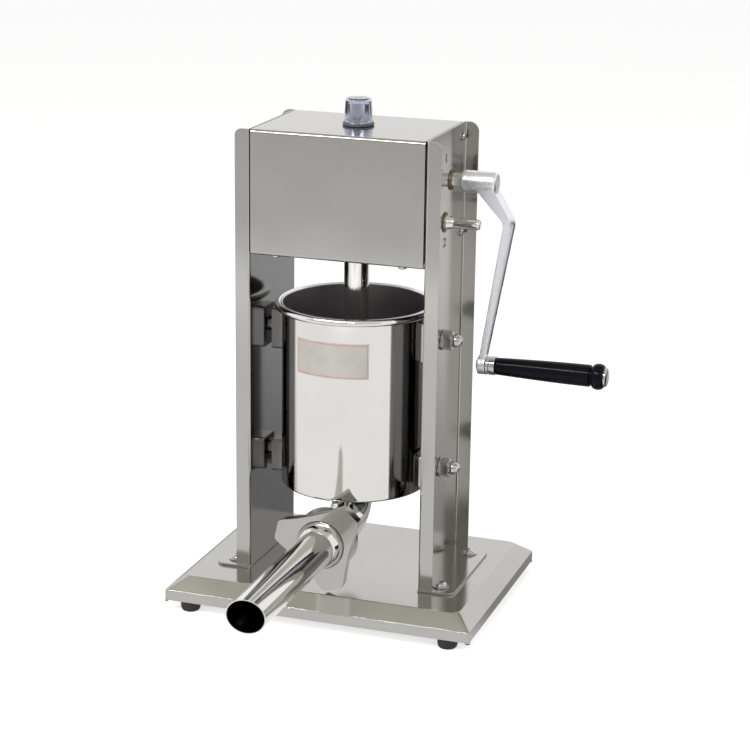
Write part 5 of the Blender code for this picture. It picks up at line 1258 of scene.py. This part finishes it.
class STUFFER_OT_shafts(Operator):
    """Turns the two shafts and their bronze bushes"""

    bl_idname = "stuffer.shafts"
    bl_label = "Shafts and bushes"

    def execute(self, context):
        steel = polished_steel(context, "YZ")
        line = spot(0, DRIVE_Y, DRIVE_Z)
        r, flat, ease = 7.0 * MM, 5.8 * MM, 0.6 * MM
        left, right = low("drive_shaft", X) - AXIS.x, high("drive_shaft", X) - AXIS.x
        profile = [(0, left), (r - ease, left), (r, left + ease)]
        profile += [(r, right - ease), (r - ease, right), (0, right)]
        shaft = turned("drive_shaft_turned", profile, line, RIGHT, 64)
        gear_seat, crank_seat = (-13.0 * MM, 51.0 * MM), WEB_OUTER + 3.5 * MM
        seats = (gear_seat, (crank_seat, right + OVERRUN))
        for start, end in seats:
            for side in (-1, 1):
                mid = line + RIGHT * (start + end) / 2 + UP.cross(RIGHT) * side * (flat + r)
                combine(shaft, slab(mid, (end - start, 2 * r, 3 * r)), "DIFFERENCE")
        soften(shaft, 0.15 * MM, 2)
        settle(shaft, steel, "crank", "polished_steel", "drive_shaft")
        line = spot(0, SLOW_Y, SLOW_Z)
        left, tip = low("slow_shaft", X) - AXIS.x, high("slow_shaft", X) - AXIS.x
        journal, rod_r, cone = 7.2 * MM, 5.0 * MM, WEB_OUTER + 1.5 * MM
        ball = [
            (rod_r - 2.4 * MM * (1 - math.cos(a)), tip - 2.4 * MM * (1 - math.sin(a)))
            for a in [math.pi / 2 * i / 8 for i in range(9)]
        ]
        step = 49.0 * MM
        profile = [(0, left), (rod_r, left), (rod_r, step), (journal, step), (journal, cone)]
        profile += [(journal - 0.5 * MM, cone + 1.2 * MM), (rod_r + 0.3 * MM, cone + 7.6 * MM)]
        profile.append((rod_r, cone + 8.5 * MM))
        slow = turned("slow_shaft_turned", [*profile, *ball, (0, tip)], line, RIGHT, 64)
        settle(slow, steel, "slow_drive", "polished_steel", "slow_shaft")
        self.bush(context, "right_bush", r + FIT, 1)
        self.bush(context, "left_bush", r + FIT, -1)
        self.bush(context, "slow_outer_bush", journal + FIT, 1)
        return {"FINISHED"}

    def bush(self, context, name, bore, side):
        """A flanged bush with its flange at the inner end."""
        ends = (low(name, X) - AXIS.x, high(name, X) - AXIS.x)
        near, far = ends if side > 0 else ends[::-1]
        flange, body = span(name, Z) / 2, 9.5 * MM
        seat = near + side * 2.0 * MM
        centre = Vector((AXIS.x, middle(name, Y), middle(name, Z)))
        profile = [(bore, near), (flange, near), (flange, seat), (body, seat), (body, far), (bore, far)]
        made = turned(name + "_turned", profile, centre, RIGHT, 64)
        soften(made, 0.3 * MM, 2)
        settle(made, bronze(context), "stand", "bronze", name)


class STUFFER_OT_rack(Operator):
    """Turns the rack bar, cuts its teeth and fits the clear cap"""

    bl_idname = "stuffer.rack"
    bl_label = "Rack bar and cap"

    def execute(self, context):
        tail, bottom, r, spigot = low("rack_bar", Z), high("piston", Z) + FIT, 12.0 * MM, 9.5 * MM
        top, shoulder = high("rack_bar", Z), high("rack_bar", Z) - 18.3 * MM
        ease = 0.8 * MM
        end = 8.0 * MM
        profile = [(0, tail), (end, tail), (end, bottom), (r, bottom), (r, shoulder - ease / 2)]
        profile += [(r - ease / 2, shoulder), (spigot, shoulder), (spigot, top - ease)]
        profile += [(spigot - ease, top), (0, top)]
        bar = turned("rack_bar_turned", profile, spot(0, 0, 0), UP)
        combine(bar, self.comb(r), "DIFFERENCE")
        soften(bar, 0.15 * MM, 2, 40)
        settle(bar, polished_steel(context, "XY"), "rack", "polished_steel", "rack_bar")
        low_r, top_r, wall, crown_r = span("rack_cap", X) / 2, 12.1 * MM, 1.7 * MM, 2.2 * MM
        bottom, top = low("rack_cap", Z), high("rack_cap", Z)
        ring = bottom + 2.0 * MM
        crown = arc((top_r - crown_r, top - crown_r), crown_r, 0, math.pi / 2, 8)
        turn = crown_r / 2
        inner = arc((top_r - wall - turn, top - wall - turn), turn, math.pi / 2, 0, 6)
        profile = [(0, top - wall), *inner, (low_r - wall, ring), (spigot + FIT, ring)]
        profile += [(spigot + FIT, bottom), (low_r, bottom), *crown, (0, top)]
        cap = turned("rack_cap_moulded", profile, spot(0, 0, 0), UP)
        soften(cap, 0.3 * MM, 2, 40)
        settle(cap, clear_plastic(context), "rack_top_cap", "clear_cap", "rack_cap")
        return {"FINISHED"}

    def comb(self, r):
        """Everything behind the tooth tips, with a point into each gap."""
        module, pitch_line = 2.0 * MM, 5.0 * MM
        pitch = math.pi * module
        addendum, dedendum = 0.85 * module, 1.15 * module
        tip, root = pitch_line + addendum, pitch_line - dedendum
        lean = math.tan(math.radians(20))
        half = (pitch / 2 + 0.35 * MM) / 2
        lift = next(joint for joint in frame["joints"] if joint["name"] == "rack_lift")
        travel = lift["range_m"][1]
        margin = 12.4 * MM
        above, below = math.ceil(margin / pitch), math.ceil((travel + margin) / pitch)
        wide, narrow = half + addendum * lean, half - dedendum * lean
        back = r + OVERRUN
        points = [(back, DRIVE_Z - below * pitch - wide)]
        for gap in range(-below, above + 1):
            z = DRIVE_Z + gap * pitch
            points += [(tip, z - wide), (root, z - narrow), (root, z + narrow), (tip, z + wide)]
        points.append((back, DRIVE_Z + above * pitch + wide))
        outline = [spot(-back, y, z) for y, z in points]
        return drawn("comb", outline, RIGHT * 2 * back)


class STUFFER_OT_piston(Operator):
    """Turns the piston and its silicone ring"""

    bl_idname = "stuffer.piston"
    bl_label = "Piston"

    def execute(self, context):
        bottom, top, radius = low("piston", Z), high("piston", Z), span("piston", X) / 2
        mid, groove, floor = (bottom + top) / 2, 4.0 * MM, span("piston", X) / 2 - 5.2 * MM
        bore, recess_r, recess, edge = 8.3 * MM, 15.5 * MM, bottom + 9.0 * MM, 1.2 * MM
        profile = [(bore, top), (radius - edge, top), (radius, top - edge), (radius, mid + groove)]
        profile += [(floor, mid + groove), (floor, mid - groove)]
        profile += [(radius, mid - groove), (radius, bottom + edge)]
        profile += [(radius - edge, bottom), (recess_r, bottom), (recess_r, recess), (bore, recess)]
        disc = turned("piston_turned", profile, spot(0, 0, 0), UP, 128)
        soften(disc, 0.3 * MM, 2)
        settle(disc, nylon(context), "rack", "pale_nylon", "piston")
        outer, half = span("piston_seal", X) / 2, span("piston_seal", Z) / 2
        lip = 1.6 * MM
        turns = [math.pi * (i / 16 - 0.5) for i in range(17)]
        ring = [(outer - lip + lip * math.cos(a), mid + half * math.sin(a)) for a in turns]
        profile = [(floor + FIT, mid - half), *ring, (floor + FIT, mid + half)]
        seal = turned("piston_seal_ring", profile, spot(0, 0, 0), UP, 128)
        settle(seal, silicone(context), "rack", "silicone", "piston_seal")
        return {"FINISHED"}


class STUFFER_OT_inner_works(Operator):
    """Finishes the frame, gears and small inner pieces that keep their shapes"""

    bl_idname = "stuffer.inner_works"
    bl_label = "Inner works"

    def execute(self, context):
        finishes = {
            "gear_frame": machined_steel,
            "rack_pinion": machined_steel,
            "bull_gear": machined_steel,
            "slow_pinion": machined_steel,
            "crank_set_screw": machined_steel,
            "slow_inner_bush": bronze,
            "floor_guide_bush": nylon,
            "piston_nut": bright_steel,
        }
        for name, finish in finishes.items():
            for place in frame["nodes"][name].material_slots:
                place.material = finish(context)
        return {"FINISHED"}


NUMBERS = (("1", -8.5 * MM, 433.0 * MM), ("2", -8.5 * MM, 354.0 * MM))
NUMBER_SIZE = 12.0 * MM
NUMBER_DEPTH = 0.04 * MM
NUMBER_WIDTH = 2.2
LABEL_TURN = (math.radians(-31), math.radians(29))
LABEL_HEIGHT = (236.0 * MM, 270.0 * MM)
LABEL_EDGE, LABEL_LINE = 1.3 * MM, 0.5 * MM
LABEL_GAP, LABEL_SHEET = 0.05 * MM, 0.1 * MM


class STUFFER_OT_markings(Operator):
    """Puts the plain numbers by the two shafts and a blank label on the can"""

    bl_idname = "stuffer.markings"
    bl_label = "Numbers and blank label"

    def execute(self, context):
        ink = plastic("marking_ink", (0.03, 0.03, 0.03), 0.4, 0.6)
        x = WEB_OUTER + 0.02 * MM
        for body, y, z in NUMBERS:
            deselect()
            turn = (math.pi / 2, 0, math.pi / 2)
            bpy.ops.object.text_add(location=spot(x, y, z), rotation=turn)
            words = bpy.context.object
            words.data.body = body
            words.data.size = NUMBER_SIZE
            words.data.extrude = NUMBER_DEPTH
            words.name = "speed_mark_" + body
            words.scale = (NUMBER_WIDTH, 1, 1)
            bpy.ops.object.convert(target="MESH")
            settle(bpy.context.object, ink, "stand", "black_nylon")
        self.label(context)
        return {"FINISHED"}

    def label(self, context):
        """A sticker bent round the can: pale, with a thin red frame and nothing on it."""
        (start, end), (bottom, top) = LABEL_TURN, LABEL_HEIGHT
        radius = CAN_RADIUS + LABEL_GAP
        turns = [start + (end - start) * i / 40 for i in range(41)]
        points = [(radius * math.sin(a), -radius * math.cos(a)) for a in turns]
        sheet = chain("blank_label", [spot(x, y, bottom) for x, y in points], closed=False)
        bpy.ops.mesh.extrude_region_move(TRANSFORM_OT_translate={"value": UP * (top - bottom)})
        bpy.ops.mesh.select_all(action="SELECT")
        bpy.ops.mesh.normals_make_consistent(inside=False)
        pale = plastic("label_face", colours(context).label, 0.3, 0.42, grain=60.0)
        red = plastic("label_frame", colours(context).label_frame, 0.3, 0.42)
        sheet.data.materials.append(pale)
        sheet.data.materials.append(red)
        bpy.ops.mesh.select_all(action="SELECT")
        bpy.ops.mesh.inset(thickness=LABEL_EDGE)
        bpy.ops.mesh.inset(thickness=LABEL_LINE)
        mesh = bmesh.from_edit_mesh(sheet.data)
        inner = [face for face in mesh.faces if face.select]
        ring = set()
        for face in inner:
            for edge in face.edges:
                ring.update(other for other in edge.link_faces if not other.select)
        for face in ring:
            face.material_index = 1
        bmesh.update_edit_mesh(sheet.data)
        bpy.ops.object.mode_set(mode="OBJECT")
        modify(sheet, "SOLIDIFY", thickness=LABEL_SHEET, offset=1)
        bpy.ops.object.shade_smooth_by_angle(angle=math.radians(32))
        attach(sheet, "stand")


# Studio. Each fade runs between two places, from one level to another. Places run from the
# camera's side to the back

FLOOR_SIZE = 14.0
FLOOR_PAPER = 0.8
FLOOR_GLOW = 0.6
ROOM_LIGHT = 0.55
# Levels that metal mirrors in the floor instead of its lit paper: painted light graded towards the front,
# and a painted shadow just behind the object that lifts further back
FLOOR_FADES = (
    ((-1.42, -1.2), (0.72, 1.25)),
    ((-1.15, -0.9), (1.0, 0.74)),
    ((-0.05, 0.1), (1.0, 0.36)),
    ((0.15, 1.4), (1.0, 2.4)),
)
LIT_WIDTH = ((0.05, 1.0), (0.22, 0.75))
SIDE_FADE = ((0.0, 0.12), (1.0, 0.07))
SIDE_START = ((-0.05, 0.1), (0.0, 1.0))
FILL_SIZE = (1.0, 1.0)
CARDS = (
    ("studio_ceiling", (0, 0.1, 2.1), (3.4, 3.0), (0.56, 0.55, 0.49), 0),
    ("studio_front", (0, -2.6, 1.0), (7.0, 2.0), (0.58, 0.57, 0.55), 90),
)
LAMPS = (
    ("strip_front", (-0.32, -0.86, 1.29), (1.3, 0.07), 11.0, True),
    ("fill_left", (-1.3, -1.3, 1.2), FILL_SIZE, 12.0, False),
    ("fill_right", (1.4, -0.9, 1.2), FILL_SIZE, 10.0, False),
)
LAMP_AIM = Vector((0, 0, 0.25))


class STUFFER_OT_stage(Operator):
    """Lays the pale floor and sets the lamps, the background and the camera"""

    bl_idname = "stuffer.stage"
    bl_label = "Studio"

    def execute(self, context):
        self.floor()
        self.background(context)
        for card in CARDS:
            self.card(*card)
        for lamp in LAMPS:
            self.lamp(context, *lamp)
        self.camera(context)
        context.scene.view_settings.view_transform = "Standard"
        return {"FINISHED"}

    def floor(self):
        """Pale paper. Metal mirrors it graded in front, and dark at the sides behind the object."""
        deselect()
        bpy.ops.mesh.primitive_plane_add(size=FLOOR_SIZE, location=(0, 0, 0))
        ground = bpy.context.object
        ground.name = "studio_floor"
        made = self.blank(bpy.data.materials.new("studio_floor"))
        place = wired(made, "ShaderNodeTexCoord").outputs["Object"]
        ways = wired(made, "ShaderNodeSeparateXYZ", {"Vector": place}).outputs
        depth, across = ways["Y"], self.maths(made, "ABSOLUTE", ways["X"])
        beyond = self.maths(made, "SUBTRACT", across, self.fade(made, depth, *LIT_WIDTH))
        dim = self.maths(made, "SUBTRACT", 1.0, self.fade(made, beyond, *SIDE_FADE))
        share = self.maths(made, "MULTIPLY", dim, self.fade(made, depth, *SIDE_START))
        level = self.maths(made, "SUBTRACT", 1.0, share)
        for ends, values in FLOOR_FADES:
            level = self.maths(made, "MULTIPLY", level, self.fade(made, depth, ends, values))
        grey = (FLOOR_PAPER, FLOOR_PAPER, FLOOR_PAPER, 1)
        paper = wired(made, "ShaderNodeBsdfDiffuse", {"Color": grey}).outputs["BSDF"]
        glow = wired(made, "ShaderNodeEmission", {"Strength": FLOOR_GLOW}).outputs["Emission"]
        mirrored = wired(made, "ShaderNodeEmission", {"Strength": level}).outputs["Emission"]
        shown = wired(made, "ShaderNodeAddShader", {0: paper, 1: glow}).outputs["Shader"]
        path = wired(made, "ShaderNodeLightPath").outputs
        # Glossy rays see the painted levels: painted light in front of the object and a painted shadow
        # behind it
        unseen = self.choice(made, path["Is Glossy Ray"], paper, mirrored)
        shader = self.choice(made, path["Is Camera Ray"], unseen, shown)
        wired(made, "ShaderNodeOutputMaterial", {"Surface": shader})
        ground.data.materials.append(made)

    def blank(self, owner):
        owner.use_nodes = True
        owner.node_tree.nodes.clear()
        return owner

    def fade(self, owner, source, ends, values):
        """A level that runs from one value to the other between two places."""
        fed = {"Value": source, "From Min": ends[0], "From Max": ends[1]}
        fed.update({"To Min": values[0], "To Max": values[1]})
        made = wired(owner, "ShaderNodeMapRange", fed, interpolation_type="SMOOTHSTEP")
        return made.outputs["Result"]

    def maths(self, owner, operation, *sources):
        fed = dict(enumerate(sources))
        return wired(owner, "ShaderNodeMath", fed, operation=operation).outputs["Value"]

    def choice(self, owner, test, otherwise, chosen):
        return wired(owner, "ShaderNodeMixShader", {0: test, 1: otherwise, 2: chosen}).outputs["Shader"]

    def card(self, name, place, size, colour, tilt):
        """A glowing card out of the picture, which shiny faces mirror."""
        deselect()
        bpy.ops.mesh.primitive_plane_add(size=1, location=place)
        sheet = bpy.context.object
        sheet.name = name
        sheet.scale = (*size, 1)
        sheet.rotation_euler.x = math.radians(tilt)
        applied()
        made = self.blank(bpy.data.materials.new(name))
        glow = wired(made, "ShaderNodeEmission", {"Color": (*colour, 1)}).outputs["Emission"]
        wired(made, "ShaderNodeOutputMaterial", {"Surface": glow})
        sheet.data.materials.append(made)
        sheet.visible_camera = False

    def background(self, context):
        """White to the camera and in mirrors and clear plastic, and softer as light."""
        world = self.blank(bpy.data.worlds.new("studio"))
        context.scene.world = world
        path = wired(world, "ShaderNodeLightPath").outputs
        seen = path["Is Camera Ray"]
        for ray in ("Is Glossy Ray", "Is Transmission Ray"):
            seen = self.maths(world, "MAXIMUM", seen, path[ray])
        soft = wired(world, "ShaderNodeBackground", {"Strength": ROOM_LIGHT}).outputs["Background"]
        white = {"Color": (1, 1, 1, 1)}
        white = wired(world, "ShaderNodeBackground", white).outputs["Background"]
        wired(world, "ShaderNodeOutputWorld", {"Surface": self.choice(world, seen, soft, white)})

    def lamp(self, context, name, place, size, power, mirrored):
        """A flat lamp aimed at the object, which its faces may mirror or not."""
        light = bpy.data.lights.new(name, "AREA")
        light.shape = "RECTANGLE"
        light.size, light.size_y = size
        light.energy = power
        holder = bpy.data.objects.new(name, light)
        context.scene.collection.objects.link(holder)
        holder.location = place
        holder.visible_glossy = mirrored
        holder.rotation_euler = (LAMP_AIM - holder.location).to_track_quat("-Z", "Y").to_euler()

    def camera(self, context):
        """The photo's camera, as found from straight edges and ellipses."""
        azimuth, elevation, roll = (math.radians(d) for d in (18.689, 16.416, 0.75))
        distance, target = 1.8072, spot(0.09923, -0.25176, 0.29457)
        focal_px, centre_x, centre_y, picture = 2175.4, 369.47, 380.29, 750
        view = (
            Matrix.Rotation(azimuth, 3, "Z")
            @ Matrix.Rotation(math.pi / 2 - elevation, 3, "X")
            @ Matrix.Rotation(roll, 3, "Z")
        )
        lens = bpy.data.cameras.new("photo_view")
        lens.sensor_width = 36.0
        lens.lens = focal_px * lens.sensor_width / picture
        lens.shift_x = (picture / 2 - centre_x) / picture
        lens.shift_y = (centre_y - picture / 2) / picture
        lens.clip_start = 0.05
        holder = bpy.data.objects.new("photo_view", lens)
        context.scene.collection.objects.link(holder)
        holder.matrix_world = Matrix.Translation(target + view.col[2] * distance) @ view.to_4x4()
        context.scene.camera = holder


# Sizes and colours that a user may change


class StufferSizes(PropertyGroup):
    """Edges and smoothness of the sheet, cast and turned pieces"""

    base_rim: FloatProperty(
        name="Base rim radius", description="Rounding of the base pan's folds",
        default=1.8 * MM, unit="LENGTH",
    )
    nut_edge: FloatProperty(
        name="Winged nut edge", description="Rounding of the winged nut's edges",
        default=0.8 * MM, unit="LENGTH",
    )
    sheet_gloss: FloatProperty(
        name="Sheet roughness", description="Lowest roughness of the brushed sheet",
        default=0.13, min=0.02, max=0.9,
    )
    can_sides: IntProperty(
        name="Can sides", description="Number of facets round the can", default=256, min=32
    )


def colour(name, description, value):
    return FloatVectorProperty(
        name=name, description=description, subtype="COLOR", size=3, min=0, max=1, default=value
    )


class StufferColours(PropertyGroup):
    """Colours of the finishes, in linear light"""

    steel: colour("Brushed steel", "Sheet of the posts, cover and base", (0.50, 0.488, 0.462))
    polished: colour("Polished steel", "Can, spout, nozzle and shafts", (0.80, 0.79, 0.76))
    mill: colour("Mill steel", "Unpolished inner sides of the posts", (0.20, 0.20, 0.205))
    # Painted shade: this colour is darker than the can's own steel to stand in for the shade inside the can
    inside: colour("Inside of the can", "Duller drawn steel inside the can", (0.55, 0.53, 0.55))
    bright: colour("Bright steel", "Nuts, bolts and screws", (0.54, 0.54, 0.53))
    machined: colour("Machined steel", "Gears and gear frame", (0.55, 0.55, 0.55))
    bronze: colour("Bronze", "Oiled bronze of the shaft bushes", (0.24, 0.20, 0.15))
    cast: colour("Cast aluminium", "Crank arm", (0.88, 0.88, 0.93))
    grip: colour("Black plastic", "Grip", (0.003, 0.003, 0.006))
    guide: colour("Grey-black nylon", "Guide in the cover's top", (0.07, 0.073, 0.082))
    rubber: colour("Rubber", "Feet", (0.02, 0.02, 0.02))
    nylon: colour("Pale nylon", "Piston and floor guide", (0.80, 0.79, 0.74))
    silicone: colour("Silicone", "Piston ring and gasket", (0.78, 0.77, 0.72))
    clear: colour("Clear plastic", "Cap on the rack bar", (0.70, 0.74, 0.84))
    label: colour("Label", "Blank label on the can", (0.42, 0.41, 0.38))
    label_frame: colour("Label frame", "Thin frame of the label", (0.62, 0.08, 0.09))


PIECES = (
    STUFFER_OT_base,
    STUFFER_OT_feet,
    STUFFER_OT_posts,
    STUFFER_OT_cover,
    STUFFER_OT_screws,
    STUFFER_OT_studs,
    STUFFER_OT_can,
    STUFFER_OT_spout,
    STUFFER_OT_nozzle,
    STUFFER_OT_winged_nut,
    STUFFER_OT_crank,
    STUFFER_OT_grip,
    STUFFER_OT_shafts,
    STUFFER_OT_rack,
    STUFFER_OT_piston,
    STUFFER_OT_inner_works,
    STUFFER_OT_markings,
    STUFFER_OT_stage,
)


class STUFFER_PT_panel(Panel):
    """Sizes and colours, and a button for each piece"""

    bl_label = "Sausage stuffer"
    bl_idname = "STUFFER_PT_panel"
    bl_space_type = "VIEW_3D"
    bl_region_type = "UI"
    bl_category = "Stuffer"

    def draw(self, context):
        for group in (sizes(context), colours(context)):
            box = self.layout.box()
            for name in group.__annotations__:
                box.prop(group, name)
        for piece in PIECES:
            self.layout.operator(piece.bl_idname)


CLASSES = (StufferSizes, StufferColours, *PIECES, STUFFER_PT_panel)


def register():
    for one in CLASSES:
        bpy.utils.register_class(one)
    bpy.types.Scene.stuffer_sizes = PointerProperty(type=StufferSizes)
    bpy.types.Scene.stuffer_colours = PointerProperty(type=StufferColours)


def unregister():
    del bpy.types.Scene.stuffer_colours
    del bpy.types.Scene.stuffer_sizes
    for one in reversed(CLASSES):
        bpy.utils.unregister_class(one)


def main():
    """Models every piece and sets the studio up."""
    register()
    bpy.ops.stuffer.base()
    bpy.ops.stuffer.feet()
    bpy.ops.stuffer.posts()
    bpy.ops.stuffer.cover()
    bpy.ops.stuffer.screws()
    bpy.ops.stuffer.studs()
    bpy.ops.stuffer.can()
    bpy.ops.stuffer.spout()
    bpy.ops.stuffer.nozzle()
    bpy.ops.stuffer.winged_nut()
    bpy.ops.stuffer.crank()
    bpy.ops.stuffer.grip()
    bpy.ops.stuffer.shafts()
    bpy.ops.stuffer.rack()
    bpy.ops.stuffer.piston()
    bpy.ops.stuffer.inner_works()
    bpy.ops.stuffer.markings()
    bpy.ops.stuffer.stage()
    deselect()


if __name__ == "__main__":
    main()
